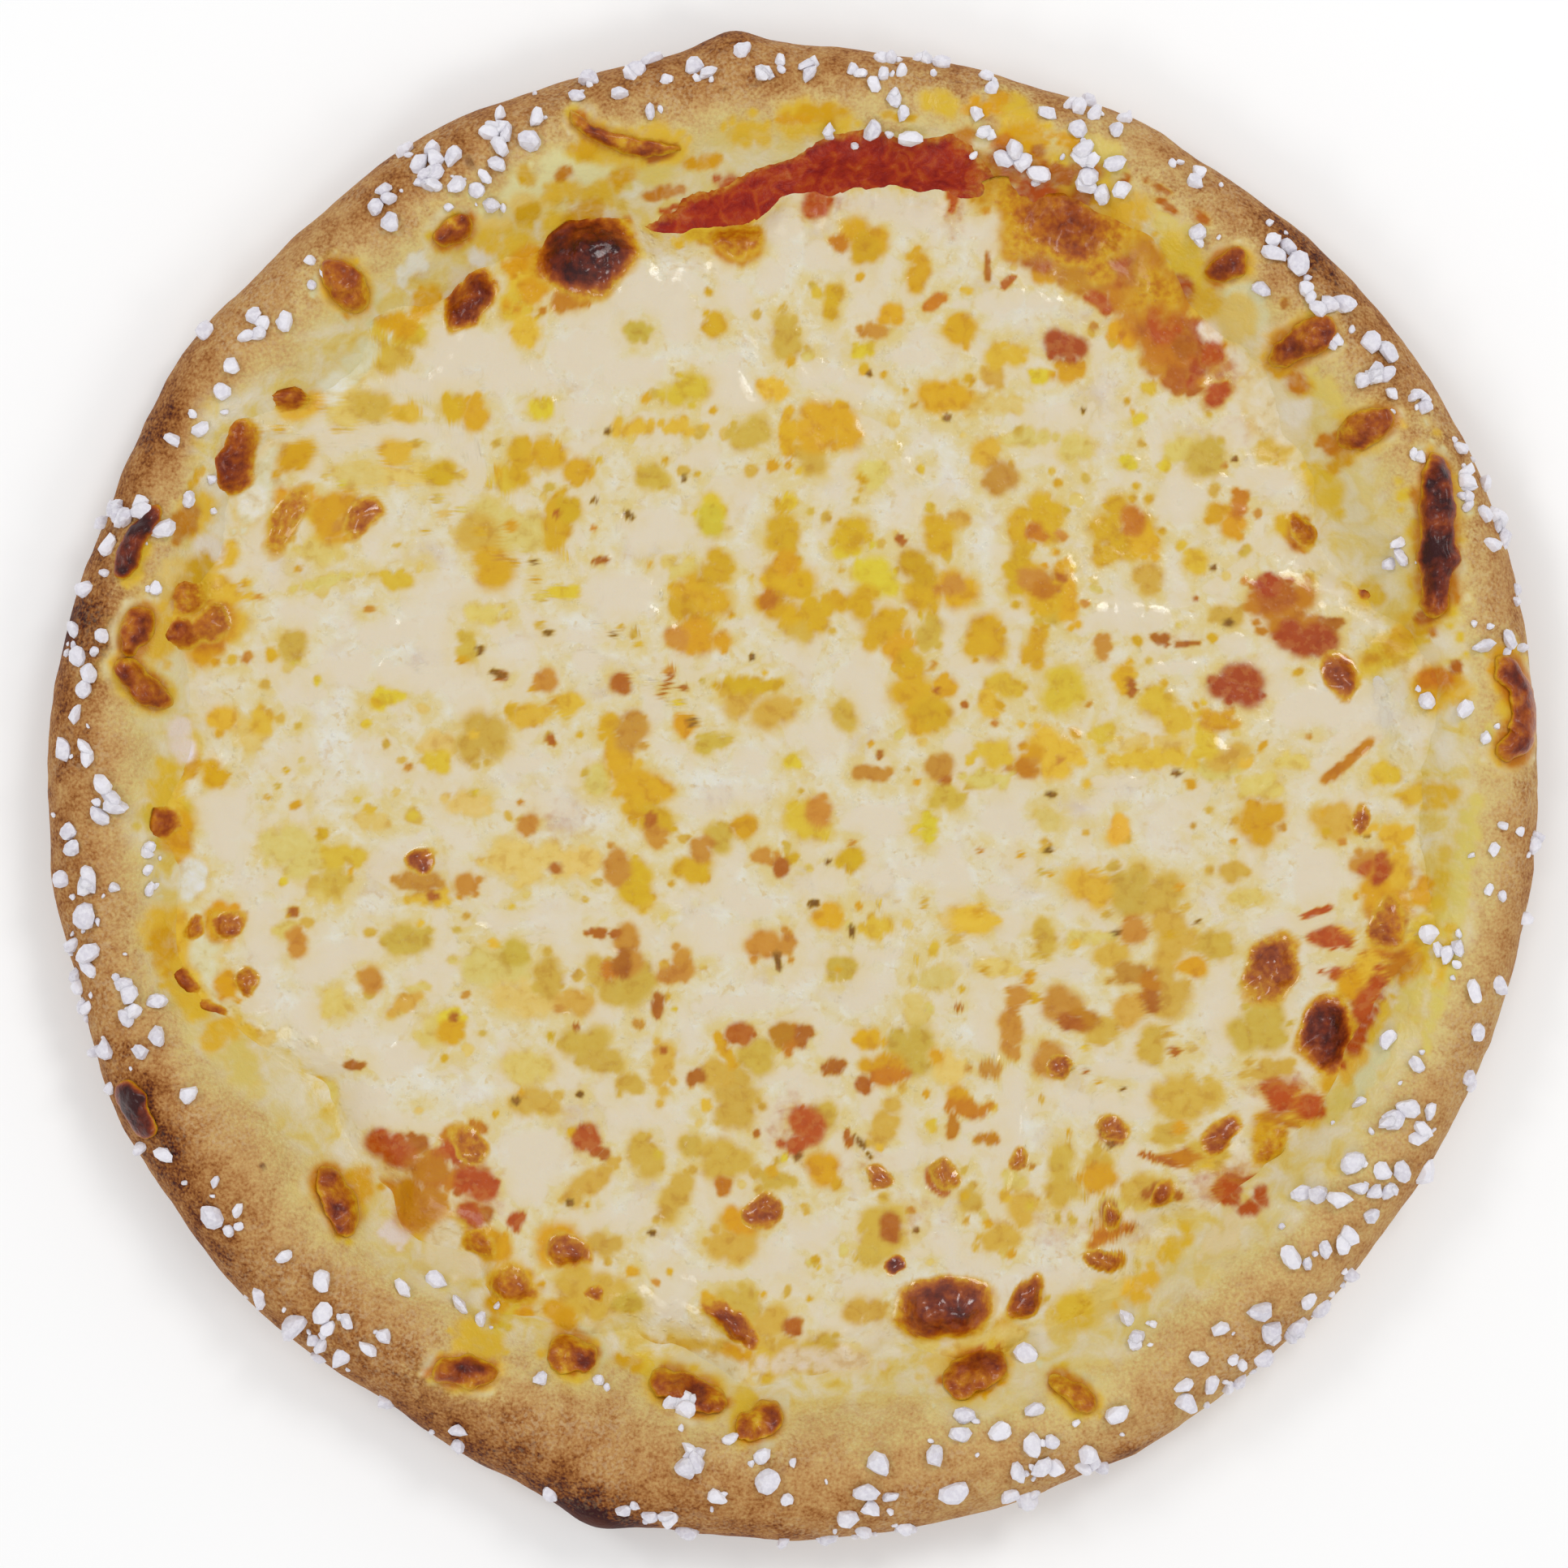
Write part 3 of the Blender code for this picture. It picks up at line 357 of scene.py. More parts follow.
        (66, 70, 8, 5), (80, -5, 9, 8), (-97, -22, 6, 9), (-104, -8, 5, 7), (-1, 39, 4, 4), (70, 90, 5, 8),
        (57, 78, 7, 5), (60, 99, 6, 5), (66, 81, 5, 4), (43, 88, 7, 4), (-10, -96, 5, 4),
    ),
    "peach": (
        (-27, 10, 5.5, 8), (-42, 19, 4, 4), (-64, -15, 8, 4), (-55, -16, 5, 4), (-45, -5.5, 4, 4),
        (-23.5, -8, 4, 4), (-30, -13, 4, 7), (-15.5, -9.5, 4, 4.5), (-5, -11, 5, 3), (-18.5, -29.5, 4, 6, 20),
        (-20.5, -31.5, 5, 3), (-5, -26.5, 6.5, 5.5), (-1, -26, 3, 5), (-28, -27, 5, 9), (-84, -26, 4, 5),
        (-71.5, -32, 4, 4), (52.5, 24.5, 3, 5), (35, 53, 6, 6), (27, 35, 5, 3), (13, 3, 6, 3), (25, 4, 5, 5),
        (58, -23.5, 6, 5), (46, -36, 7, 6), (38, -35, 4, 4), (37, -41, 4, 9), (33, -47, 6, 3), (44, -45, 7, 7),
        (57, -31, 8, 4), (5, -3, 5, 5), (97, -12, 5, 4), (41, 36, 5, 4), (40, 4, 4, 4), (14, 78, 5, 3),
        (-20, 26, 4, 4), (62, 75, 7, 7), (54, 95, 9, 5), (-56, -62, 4, 4),
    ),
    "orange": (
        (63, 82, 16, 20, 35), (53, 91, 16, 14, -20), (40, 99, 14, 9, -15), (68, 73, 9, 9), (50, 99, 12, 7),
        (83, 32, 11, 9), (86, 27, 13, 8, -15), (58, 46, 4, 5), (43, 34, 4, 3), (41, 44, 4, 3), (-4, 32.5, 3, 3),
        (76, 49, 3, 4), (86, 44, 4.5, 6), (84.5, 68.5, 3.5, 4), (94, 5, 12, 2.4, 40), (49, -39, 6, 4),
        (60.5, -34, 3.6, 6), (16, -48.5, 6, 3), (0, -42, 4, 5), (-12, -67, 3, 3), (-56, -58, 9, 3.5, 15),
        (-67, -69, 9, 7), (-69, -74, 6, 5), (-62, -70, 8, 5), (-57, -66, 5, 5), (102, -21, 4, 11),
        (99, -20, 5, 6), (85, -56, 8, 3), (82, -71, 5, 4), (79, -68, 6, 5), (33, -59, 5, 2.5), (30, -54, 8, 3),
        (27, -57, 2.5, 5), (41, 99, 8, 8), (38, 93, 7, 7), (55, 91, 9, 6), (60, 85, 7, 6), (62, 74, 6, 8),
        (67, 74, 5, 7), (57, 97, 6, 5), (24, 83, 5, 2.4, 30), (-31, -30, 3, 3), (-2, -41, 4, 4), (8, 93, 3, 3),
        (66, -62, 5, 3), (39, 4, 3, 3), (-9, 92, 7, 6), (-14, 94, 5, 4), (61, 95, 4, 4), (46, -97, 5, 3),
    ),
    "toast": (
        (-73.5, 47, 4, 5), (44, 94, 13, 10, 30), (47, 98, 8, 6), (41, 92, 6, 6), (50, 90, 6, 8), (54, 86, 7, 4),
        (65, 85, 5, 5), (82, 33.5, 8, 6), (91, 28, 4.5, 3), (47, -39.5, 4, 3), (61, -36, 2.5, 4),
        (12, -50, 3, 3), (7, -47, 4, 3), (2, -41, 3, 4), (-9, -41, 5, 3.5), (-16.5, -48.5, 4, 2.5, 40),
        (-23, -36.5, 2.4, 5), (-74.5, -46.5, 4, 2), (-33, -24, 8, 2), (-29, -29, 3, 4), (-33, -61.5, 4, 2.5),
        (62, 26, 4, 2.4), (66, 25, 7, 0.9, 5), (-2, -13, 3, 3), (-29, 18, 4, 4), (63.5, -68.5, 6, 3.4),
        (53.5, -72, 3, 6), (-49.5, 19.5, 3.5, 2), (-33, 39.3, 4, 1.6), (-21.5, 18, 1.4, 5, -30),
        (57.5, 18, 1.6, 5), (-53.5, -71.5, 5, 4), (-65, -60, 8, 4), (-5, -71.5, 4.5, 5), (24, -66, 3, 5, 40),
        (16.5, -74, 4, 4.5), (54.5, -58, 5, 4), (62, -62.5, 8, 1.6, -20), (9.5, -59, 2, 4), (33, 89, 1.4, 6),
        (36, 86, 5, 1.6, 40), (67, 68, 6, 2), (0, -91, 3, 3), (101, -13, 3, 3),
    ),
    "rust": (
        (62, 79, 6, 9, 20), (68, 73, 6, 7), (56, 84, 7, 5), (44, 90, 7, 4), (70, 80, 4, 6), (52, 92, 6, 5),
        (46, 75.6, 8, 5.4), (86.5, 26, 10, 5.4, -15), (90, 25, 5, 5), (81, 35, 5, 4), (75.7, 18, 10.5, 7.5),
        (47, 90, 4, 8), (63, 80, 6, 5), (67, 77, 5, 5), (66, 70, 5, 3), (61, 82, 4, 3), (36, 103, 7, 5),
        (39, 99, 4, 4), (49, 87, 4, 3), (55, 89, 10, 5, -35), (49, 88, 8, 4, -20), (63, 83, 7, 5, -35),
        (70, 77, 4, 5),
    ),
    "tomato": (
        (97, -36, 4, 14), (95, -31, 8, 3), (91, -25, 8, 3.5), (99, -13, 6, 4), (83, -51, 7, 4),
        (88, -53.5, 6, 3), (74, -67.5, 6, 5), (78, -67, 4, 3), (55, -75, 7, 2, 15), (2, -57, 6, 6),
        (-68, -61, 11, 6, -30), (-59, -61, 5, 4), (-54, -66, 7, 5), (-61, -65, 6, 5), (-53, -67, 6, 5),
        (-47, -73, 3, 3), (-35, -59, 5, 5), (-54.5, -72, 3, 3), (104, -24, 2.5, 6), (4, 100, 5, 5),
        (27, 101, 2.4, 6), (-9, 95.5, 6, 4), (89, -20.5, 6, 1.4, 20), (65, 74, 4, 3), (95, -43, 2.4, 8),
        (58, 85, 3, 3), (70, 86, 3, 4), (0, -60, 4, 3),
    ),
    "dark": (
        (-28, 47, 2.4, 1.4, -30), (-31.5, 61, 1, 1.4), (-50, 20, 4, 1.2, -20), (-44, 39, 1.2, 0.8),
        (-53, 24, 1.2, 1.6), (-17, 12, 1.6, 1.6), (26.3, 63.5, 1.4, 1), (13, 71, 1.2, 1.2), (65, 3, 2.2, 1.2),
        (43.5, -10, 1, 0.8), (69, -22, 1.2, 0.8), (55, -24, 1, 0.8), (10, -24, 0.7, 2.4),
        (-2.5, -29, 0.9, 5, 10), (54, -60, 1.6, 1.4), (12, -60.5, 6, 0.8, -55), (-38, -70, 1.4, 0.8),
        (-24, -75, 1.6, 1), (21, -74.5, 1.2, 0.8), (46.5, -47.5, 2.6, 1.6, 30), (-36, -51.5, 2, 1),
        (3.5, -19, 2.6, 1.6), (-5, -72, 2.5, 2.4), (-7, 23, 0.8, 1.8), (75, 56.5, 1.2, 1), (71.5, 38, 0.8, 1.8),
        (-41.5, 27, 2, 1), (-34, 49.5, 2, 0.6), (49.4, 64.6, 0.8, 1.4), (-30.5, 26.5, 1.6, 1.2),
        (1, -62, 2, 0.8, 40), (56, -50.6, 1.2, 0.8), (-47, -52.6, 1.4, 0.8), (6, -12, 0.9, 0.9),
        (44, -0.5, 2.4, 1), (-18.5, 53, 1.2, 0.8), (80, 83, 1.4, 2), (97.5, -7.5, 2, 1), (74, 28.5, 1.6, 1),
    ),
}

# (x, y, length, width) of pools of smooth cream-coloured cheese
CREAM_POOLS = (
    (-91, 46, 4, 18), (-86, 56, 13, 8), (-75, 60, 17, 4), (-65, 61, 12, 3), (-56, 59, 6, 4), (-54, 54, 4, 7),
    (-62, 69, 17, 5), (-58, 75, 15, 8), (-50, 73, 9, 10), (-46, 70, 9, 5), (-36, 74, 12, 9), (-27, 71, 12, 6),
    (-24, 84, 15, 6), (-35, 81, 10, 5), (-28, 88, 6, 4), (-37, 64, 14, 5), (-11, 69, 9, 9), (-8, 66, 8, 4),
    (-16, 57, 9, 5), (-9, 84, 8, 6), (-4, 87, 6, 6), (-19, 80, 8, 8), (-24, 44, 13, 9), (-30, 33, 13, 9),
    (-57, 33, 8, 4), (-62, 27, 10, 7), (-70, 27, 8, 6), (-94, 46, 4, 6), (-65, 19, 15, 5), (-75, 21, 12, 6),
    (-55, 15, 7, 6), (-50, 28, 3, 6), (-35, 22, 5, 4), (-24, 15, 4, 8), (-46, 5, 7, 4), (-84, 30, 7, 7),
    (-83, 17, 6, 4), (22, 98, 6, 6), (-2, 96, 7, 6), (37, 83, 13, 4), (33, 92, 4, 5), (20, 74, 9, 3),
    (10, 90, 10, 3), (4, 91, 6, 5), (4, 71, 9, 5), (11, 68, 6, 6), (44, 64, 15, 5), (66, 50, 9, 10),
    (75, 61, 8, 6), (80, 53, 12, 5), (3, 37, 6, 5), (15, 31.5, 5, 4), (31, 30, 10, 3), (30, 21, 8, 5),
    (11, 21, 10, 9), (12, 15, 8, 7), (89, 14, 16, 7), (96, 9, 9, 4), (65, 21, 8, 2.4), (57, 29, 14, 5),
    (75, 25, 6, 4), (92, 36, 5, 6), (88, 39, 5, 3), (49, 28, 5, 3), (55, 1.5, 11, 2.4), (28, 8, 5, 4),
    (5, 9, 6, 4), (20, 84, 4, 5), (-97, -5, 12, 13), (-90, -24, 8, 10), (-80, -29, 9, 8), (-74, -27, 7, 5),
    (-97, -34, 7, 6), (-91, -36, 6, 3), (-82, -38, 7, 8), (-62, -33, 9, 6), (-60, -30, 6, 3), (-66, -45, 9, 5),
    (-80, -47, 7, 3), (-73, -52, 9, 5), (-70, -56, 12, 4), (-60, -57, 10, 3), (-48, -44, 4, 4),
    (-42, -25, 7, 2), (-33, -38, 6, 4), (-43, -61, 12, 9), (-45, -67, 8, 8), (-35, -73, 15, 4),
    (-25, -71.5, 6, 4), (-26, -55, 13, 5), (-20, -58, 4, 6), (-11, -36, 18, 3), (-14, -25, 14, 8),
    (-7, -20, 10, 4), (-5, -54, 6, 5), (-15, -67, 5, 4), (-12, -82, 15, 2.4), (-4, -80, 8, 4), (-3, -48, 9, 3),
    (27, -15, 6, 15), (35, -17, 6, 3), (15, -15.5, 4, 4), (14, -5, 13, 6), (6, -15, 7, 5), (36, -4, 8, 8),
    (37, -23, 6, 5), (12, -34, 8, 9), (9, -43, 9, 6), (12, -28, 10, 3), (34, -41, 6, 8), (46, -30, 10, 3.5),
    (58, -40, 6, 3), (73, -34, 5, 22), (84, -22.5, 13, 4), (89, -15, 10, 12), (90, -31, 5, 4), (78, -54, 7, 5),
    (56, -47, 11, 4), (56, -53.5, 13, 5), (37, -51, 6, 8), (36, -58, 7, 7), (49, -53, 5, 3), (31, -57, 6, 2.6),
    (13, -53, 5, 6), (3, -50, 8, 4), (8, -61, 5, 7), (18, -62.5, 9, 4), (24, -66, 4, 4), (28, -61, 5, 5),
    (35, -65, 4, 5), (3, -75, 11, 6), (17, -78.5, 14, 2.4), (26, -77, 7, 5), (32, -80, 8, 3), (12, -85, 8, 5),
    (9, -90, 8, 5), (15, -94, 6, 5), (34, -86, 3, 8), (58, -63, 5, 6), (66, -63, 4, 5), (58, -72, 9, 3),
    (67, -72, 9, 3), (70, -67, 4, 5), (52, -83, 6, 4), (43, -92, 6, 3), (72, 35, 5, 3), (-8, 5, 7, 5),
    (-10, -17, 5, 3), (-50, -22, 7, 3),
)
# (x, y, size in x, size in y) of greyish pink places, where thin cheese lies on sauce, and their strength
LILAC_PLACES = (
    (-63, 41, 8, 5), (-55, 21, 7, 3), (-62, 22, 6, 4), (-40, -3, 8, 7), (-33, 17, 6, 3), (-24, 42, 10, 5),
    (-5, -32, 6, 4), (-35, -55, 6, 6), (-36, -59, 4, 4), (-25.5, -67.5, 5, 3), (-21, -76, 4, 3),
    (26.5, -70, 3.5, 5), (46, -2, 4, 4), (27, -65, 4, 5), (14, 99, 8, 3), (-8, 95, 8, 4), (22, 99, 7, 4),
    (9, -66, 6, 3), (-70, -15, 9, 6), (-57, -14, 12, 6), (80, 49, 5, 6), (51, 67, 6, 5), (33, 86, 6, 7),
    (52, 80, 7, 5), (-86, 37, 7, 4), (70, 62, 7, 4), (98, 12, 6, 4), (12, 8, 6, 4), (56, 1, 5, 4),
    (-13, 0, 6, 4), (-45, 27, 9, 2), (47, -48, 4, 4), (5, 97, 6, 5), (92, -22, 9, 3), (85, -21, 6, 3),
    (15, -17, 6, 5), (2, -15, 5, 4), (45, -73, 7, 6), (-67, -63, 7, 3),
)
LILAC_STRENGTH = 0.8


def bare(colour):
    """The surface's own colour for a colour as it is seen: without the sheen, and undone by the light."""
    return np.maximum(np.array(colour) - SHEEN, 0.002) / LIT


def with_turn(tables):
    """Rows of (x, y, length, width, turn), with a turn of 0 where a row gives none."""
    return {name: [(*row, 0)[:5] for row in rows] for name, rows in tables.items()}


DAB_SHARE = 0.3         # a dab's radius as a share of its patch's smaller size
DAB_LIMITS = (0.5, 2.1)
TINT_SPREAD = 0.035     # how much the colours of patches with one name differ
SPECKS_REACH = 97


def filled_with_dabs(patches, seed):
    """Rows of (x, y, radius, patch number): dabs that fill each patch's ellipse, and a few beside."""
    draw = np.random.default_rng(seed)
    rows = []
    for number, (x, y, length, width, turn) in enumerate(patches):
        radius = float(np.clip(DAB_SHARE * min(length, width), *DAB_LIMITS))
        inside = 3 + int(1.5 * length * width / (math.pi * radius**2))
        beside = int(0.3 * inside) if min(length, width) > 2.9 else 0
        out = np.concatenate([np.sqrt(draw.random(inside)), draw.uniform(1.1, 1.7, beside)])
        size = np.concatenate([radius * draw.uniform(0.75, 1.2, inside), draw.uniform(0.6, 0.9, beside)])
        way = draw.random(inside + beside) * 2 * math.pi
        along = out * np.cos(way) * max(length / 2 - 0.75 * radius, 0.05)
        across = out * np.sin(way) * max(width / 2 - 0.75 * radius, 0.05)
        c, s = math.cos(math.radians(turn)), math.sin(math.radians(turn))
        places = [x + along * c - across * s, y + along * s + across * c]
        rows.append(np.stack([*places, size, np.full(len(out), number)], 1))
    return np.concatenate(rows)


def cover(bell):
    """How much of a dab's colour hides what lies below: nothing far out, all of it inside."""
    return smooth((bell - 0.08) / 0.7)[:, None]


def painted(x, y, tables, seed, spill=2.5):
    """At each corner: the field of all patches, the colour of the one painted last, and the haze round them."""
    order = np.argsort(x)
    sorted_x = x[order]
    field, haze = np.zeros_like(x), np.zeros_like(x)
    stain = np.tile(bare(COLOURS["gold"]), (len(x), 1))
    draw = np.random.default_rng(seed)
    for step, (colour, patches) in enumerate(tables.items()):
        if not patches:
            continue
        tints = bare(COLOURS[colour]) * draw.normal(1, TINT_SPREAD, (len(patches), 3))
        for px, py, radius, number in filled_with_dabs(patches, seed + step):
            reach = 2.0 * radius + spill
            first, last = np.searchsorted(sorted_x, (px - reach, px + reach))
            near = order[first:last]
            near = near[np.abs(y[near] - py) < reach]
            away = math.log(2) * ((x[near] - px) ** 2 + (y[near] - py) ** 2)
            bell = np.exp(-away / radius**2)
            field[near] = np.maximum(field[near], bell)
            haze[near] = np.maximum(haze[near], np.exp(-away / (radius + spill) ** 2))
            stain[near] += (tints[int(number)] - stain[near]) * cover(bell)
    return field, stain, haze


def strewn(count, seed):
    """Small patches at random places all over the cheese, but none on the smooth pools."""
    draw = np.random.default_rng(seed)
    x, y = place(draw.uniform(0, 360, count), SPECKS_REACH * np.sqrt(draw.random(count)))
    pools = np.array(CREAM_POOLS)
    far = ((x[:, None] - pools[:, 0]) / pools[:, 2]) ** 2 + ((y[:, None] - pools[:, 1]) / pools[:, 3]) ** 2
    kept = (far * 4).min(1) > 1.3
    names = ("ochre", "straw", "gold", "honey", "amber", "peach", "toast", "lemon")
    chosen = draw.choice(len(names), count, p=(0.27, 0.22, 0.12, 0.13, 0.08, 0.08, 0.04, 0.06))
    long = draw.uniform(0.9, 2.8, count)
    rows = np.stack([x, y, long, long * draw.uniform(0.5, 1, count), draw.uniform(0, 180, count)], 1)
    return {name: rows[kept & (chosen == number)].tolist() for number, name in enumerate(names)}


cheese_patches = with_turn(CHEESE_PATCHES)
specks = strewn(620, 77)
print("patches on the cheese:", sum(map(len, cheese_patches.values())))
print("specks on the cheese:", sum(map(len, specks.values())))

# %% [markdown]
# ## Building materials from small parts
# Node trees are easier to read when one call makes a node and links what flows into it. `put` does
# that; the helpers after it name what is used most: sums and products, a noise of a given size in
# millimetres, a soft step between two values, a mix of two colours, and bumps.

# %% Node helpers


def feed(tree, node, inputs):
    """Links each input that is given as a socket, and sets any other to its value."""
    for key, value in inputs.items():
        if isinstance(value, bpy.types.NodeSocket):
            tree.links.new(value, node.inputs[key])
        else:
            node.inputs[key].default_value = value


def put(tree, kind, inputs=None, **settings):
    """Adds a node with its settings, and feeds its inputs."""
    made = tree.nodes.new(kind)
    for key, value in settings.items():
        setattr(made, key, value)
    feed(tree, made, inputs or {})
    return made


def joined(tree, how, total, *values):
    """One sum, product or other operation after another, from left to right."""
    for value in values:
        total = put(tree, "ShaderNodeMath", {0: total, 1: value}, operation=how).outputs[0]
    return total


def plus(tree, *values):
    return joined(tree, "ADD", *values)


def minus(tree, *values):
    return joined(tree, "SUBTRACT", *values)


def times(tree, *values):
    return joined(tree, "MULTIPLY", *values)


def larger(tree, *values):
    return joined(tree, "MAXIMUM", *values)


def object_place(tree):
    """Object coordinates, from one node per tree."""
    return (tree.nodes.get("place") or put(tree, "ShaderNodeTexCoord", name="place")).outputs["Object"]


def grain(tree, size, detail=2.0, warp=0.0):
    """Noise between 0 and 1 whose bumps are about size millimetres across."""
    inputs = {"Vector": object_place(tree), "Scale": 1 / (size * MM), "Detail": detail, "Distortion": warp}
    return put(tree, "ShaderNodeTexNoise", inputs).outputs["Fac"]


def step(tree, value, low, high, to_low=0.0, to_high=1.0):
    """A soft step: to_low below low, to_high above high."""
    inputs = {"Value": value, "From Min": low, "From Max": high, "To Min": to_low, "To Max": to_high}
    return put(tree, "ShaderNodeMapRange", inputs, interpolation_type="SMOOTHSTEP").outputs["Result"]


def bumps(tree, height, strength, depth):
    """Normals bent as if the height, times the depth in millimetres, stood on the surface."""
    inputs = {"Height": height, "Strength": strength, "Distance": depth * MM}
    return put(tree, "ShaderNodeBump", inputs).outputs["Normal"]


def translucent(share, spread, depth):
    """Inputs for light that goes in and comes out beside: its share, reach per colour and depth."""
    return {"Subsurface Weight": share, "Subsurface Radius": spread, "Subsurface Scale": depth * MM}


def own(colour):
    """The surface's own colour, with alpha, for a colour as it is seen in the light of this scene."""
    return (*bare(colour).tolist(), 1)


def mixed(tree, share, a, b, how="MIX"):
    """Colour a turning into colour b as the share goes from 0 to 1."""
    a = own(a) if isinstance(a, tuple) else a
    b = own(b) if isinstance(b, tuple) else b
    return put(tree, "ShaderNodeMix", {0: share, 6: a, 7: b}, data_type="RGBA", blend_type=how).outputs[2]


def ramp(tree, value, stops, plain=False):
    """A colour for each value: stops are (position, colour as seen, or a plain factor)."""
    made = put(tree, "ShaderNodeValToRGB", {"Fac": value})
    band = made.color_ramp
    while len(band.elements) < len(stops):
        band.elements.new(0.5)
    for element, (position, colour) in zip(band.elements, stops):
        element.position = position
        element.color = (*colour, 1) if plain else own(colour)
    return made.outputs["Color"]


def read(tree, name, what="Fac"):
    return put(tree, "ShaderNodeAttribute", attribute_name=name).outputs[what]


def group(name, inputs, output, kind):
    """An empty shader group; returns its tree, its float inputs and its one output."""
    tree = bpy.data.node_groups.new(name, "ShaderNodeTree")
    for label, value in inputs.items():
        socket = tree.interface.new_socket(label, in_out="INPUT", socket_type="NodeSocketFloat")
        socket.default_value = value
    tree.interface.new_socket(output, in_out="OUTPUT", socket_type=kind)
    given, result = tree.nodes.new("NodeGroupInput"), tree.nodes.new("NodeGroupOutput")
    return tree, given.outputs, result.inputs[0]


def use(tree, shared, inputs):
    return put(tree, "ShaderNodeGroup", inputs, node_tree=shared).outputs[0]


def new_look(name):
    """A material with an empty Principled shader; returns it, its tree and the shader."""
    look = bpy.data.materials.new(name)
    look.use_nodes = True
    tree = look.node_tree
    return look, tree, tree.nodes["Principled BSDF"]


print("node helpers ready")

# %% [markdown]
# ## Effects shared by several finishes
# Four effects turn up on more than one material, so each is a node group. `patch_edge` cuts a painted
# field into a mask with a ragged outline. `browning` turns a number for how long a spot has cooked into
# the colour of cheese, from gold over orange and brown to black. `oily_skin` is the height of the fine
# ripples that fat leaves on melted cheese, sauce and the wet part of the dough. `creamy_melt` is the
# mottled white, cream and yellow where cheese runs out on the dough, so that both take the same colour
# where they meet.

# %% Shared node groups
EDGE_NOISE = 1.5      # millimetres
edge_tree, given, result = group(
    "patch_edge", {"Field": 0.0, "Wobble": 0.35, "Softness": 0.12}, "Mask", "NodeSocketFloat"
)
sway = minus(edge_tree, grain(edge_tree, EDGE_NOISE, 2.5), 0.5)
field = plus(edge_tree, given["Field"], times(edge_tree, sway, given["Wobble"]))
low, high = minus(edge_tree, 0.5, given["Softness"]), plus(edge_tree, 0.5, given["Softness"])
edge_tree.links.new(step(edge_tree, field, low, high), result)


def ragged(tree, field, wobble, softness):
    """The field cut at one half into a mask with a ragged outline."""
    return use(tree, edge_tree, {"Field": field, "Wobble": wobble, "Softness": softness})


BROWN_SPOTS = 1.3     # millimetres
BROWNING = (
    (0.0, (0.68, 0.46, 0.07)), (0.2, (0.64, 0.345, 0.022)), (0.38, (0.5, 0.17, 0.012)),
    (0.56, (0.345, 0.078, 0.008)), (0.76, (0.175, 0.033, 0.01)), (1.0, (0.05, 0.014, 0.014)),
)
brown_tree, given, result = group("browning", {"Bake": 0.5}, "Colour", "NodeSocketColor")
uneven = minus(brown_tree, grain(brown_tree, BROWN_SPOTS, 4), 0.5)
cooked = plus(brown_tree, given["Bake"], times(brown_tree, uneven, 0.6))
brown_tree.links.new(ramp(brown_tree, cooked, BROWNING), result)

OIL_RIPPLES = (2.2, 0.7)    # millimetres, broad and fine
oil_tree, given, result = group("oily_skin", {"Wrinkles": 1.0}, "Height", "NodeSocketFloat")
broad = grain(oil_tree, OIL_RIPPLES[0], 3, 0.6)
fine = times(oil_tree, grain(oil_tree, OIL_RIPPLES[1], 3, 0.4), 0.45)
oil_tree.links.new(times(oil_tree, plus(oil_tree, broad, fine), given["Wrinkles"]), result)

MELT_SPOTS = 4.6      # millimetres
WHITE_TO_YELLOW = (
    (0.32, (0.745, 0.665, 0.5)), (0.43, (0.725, 0.63, 0.42)), (0.52, (0.71, 0.59, 0.32)),
    (0.62, (0.7, 0.54, 0.17)), (0.76, (0.66, 0.44, 0.06)),
)
melt_tree, given, result = group("creamy_melt", {"Warmth": 0.0}, "Colour", "NodeSocketColor")
warmth = plus(melt_tree, grain(melt_tree, MELT_SPOTS, 4, 0.5), given["Warmth"])
melt_tree.links.new(ramp(melt_tree, warmth, WHITE_TO_YELLOW), result)
MELT_WARMTH = 0.03
print("groups:", [g.name for g in bpy.data.node_groups])

# %% [markdown]
# ## Where the melt ends
# Cheese that melted ran out over the slope of the rim in thin tongues. Its edge is needed twice: the
# cheese ends there, and the dough beside it takes on the cream that soaked in, so that no line is seen.

# %% Edge of the melt
# (angle, millimetres, width in degrees) of thin tongues of cheese that ran further out
MELT_LOBES = (
    (58, 7, 9), (142, 3.5, 4), (148, 5.5, 5), (164, 7, 6), (183, 6, 5), (240.5, 6, 3), (248.5, 5, 3),
    (266, 4, 4), (287.5, 5, 5), (41, 5, 4), (32, 3, 4), (131, 6, 4), (348, 6, 7), (6, 8.5, 8), (14, 4, 5),
    (121, 4, 4),
)
CHEESE_LINE = (
    (66, 110), (70, 109.6), (72.5, 109), (74.5, 108.4), (76.5, 108.6), (80, 106.4), (85, 104.6), (90, 103.2),
    (94, 100.6), (97, 99), (101, 98.6), (106, 101),
)


def melt_edge(angle):
    """Outer edge of the cheese: the solid's edge, the read line beside the bare sauce, and noise."""
    line = np.array(CHEESE_LINE)
    beside_sauce = np.interp(angle, line[:, 0], line[:, 1])
    edge = cheese_edge(angle) + lobes(angle, MELT_LOBES)
    edge += (beside_sauce - edge) * within(angle, GAP_START, GAP_END, 3)
    x, y = place(angle, 100.0)
    return edge + 1.1 * rough(x, y, 0, 7, 91, 2)


print("the melt reaches", round(float(melt_edge(np.arange(0.0, 360)).max()), 1), "mm at most")

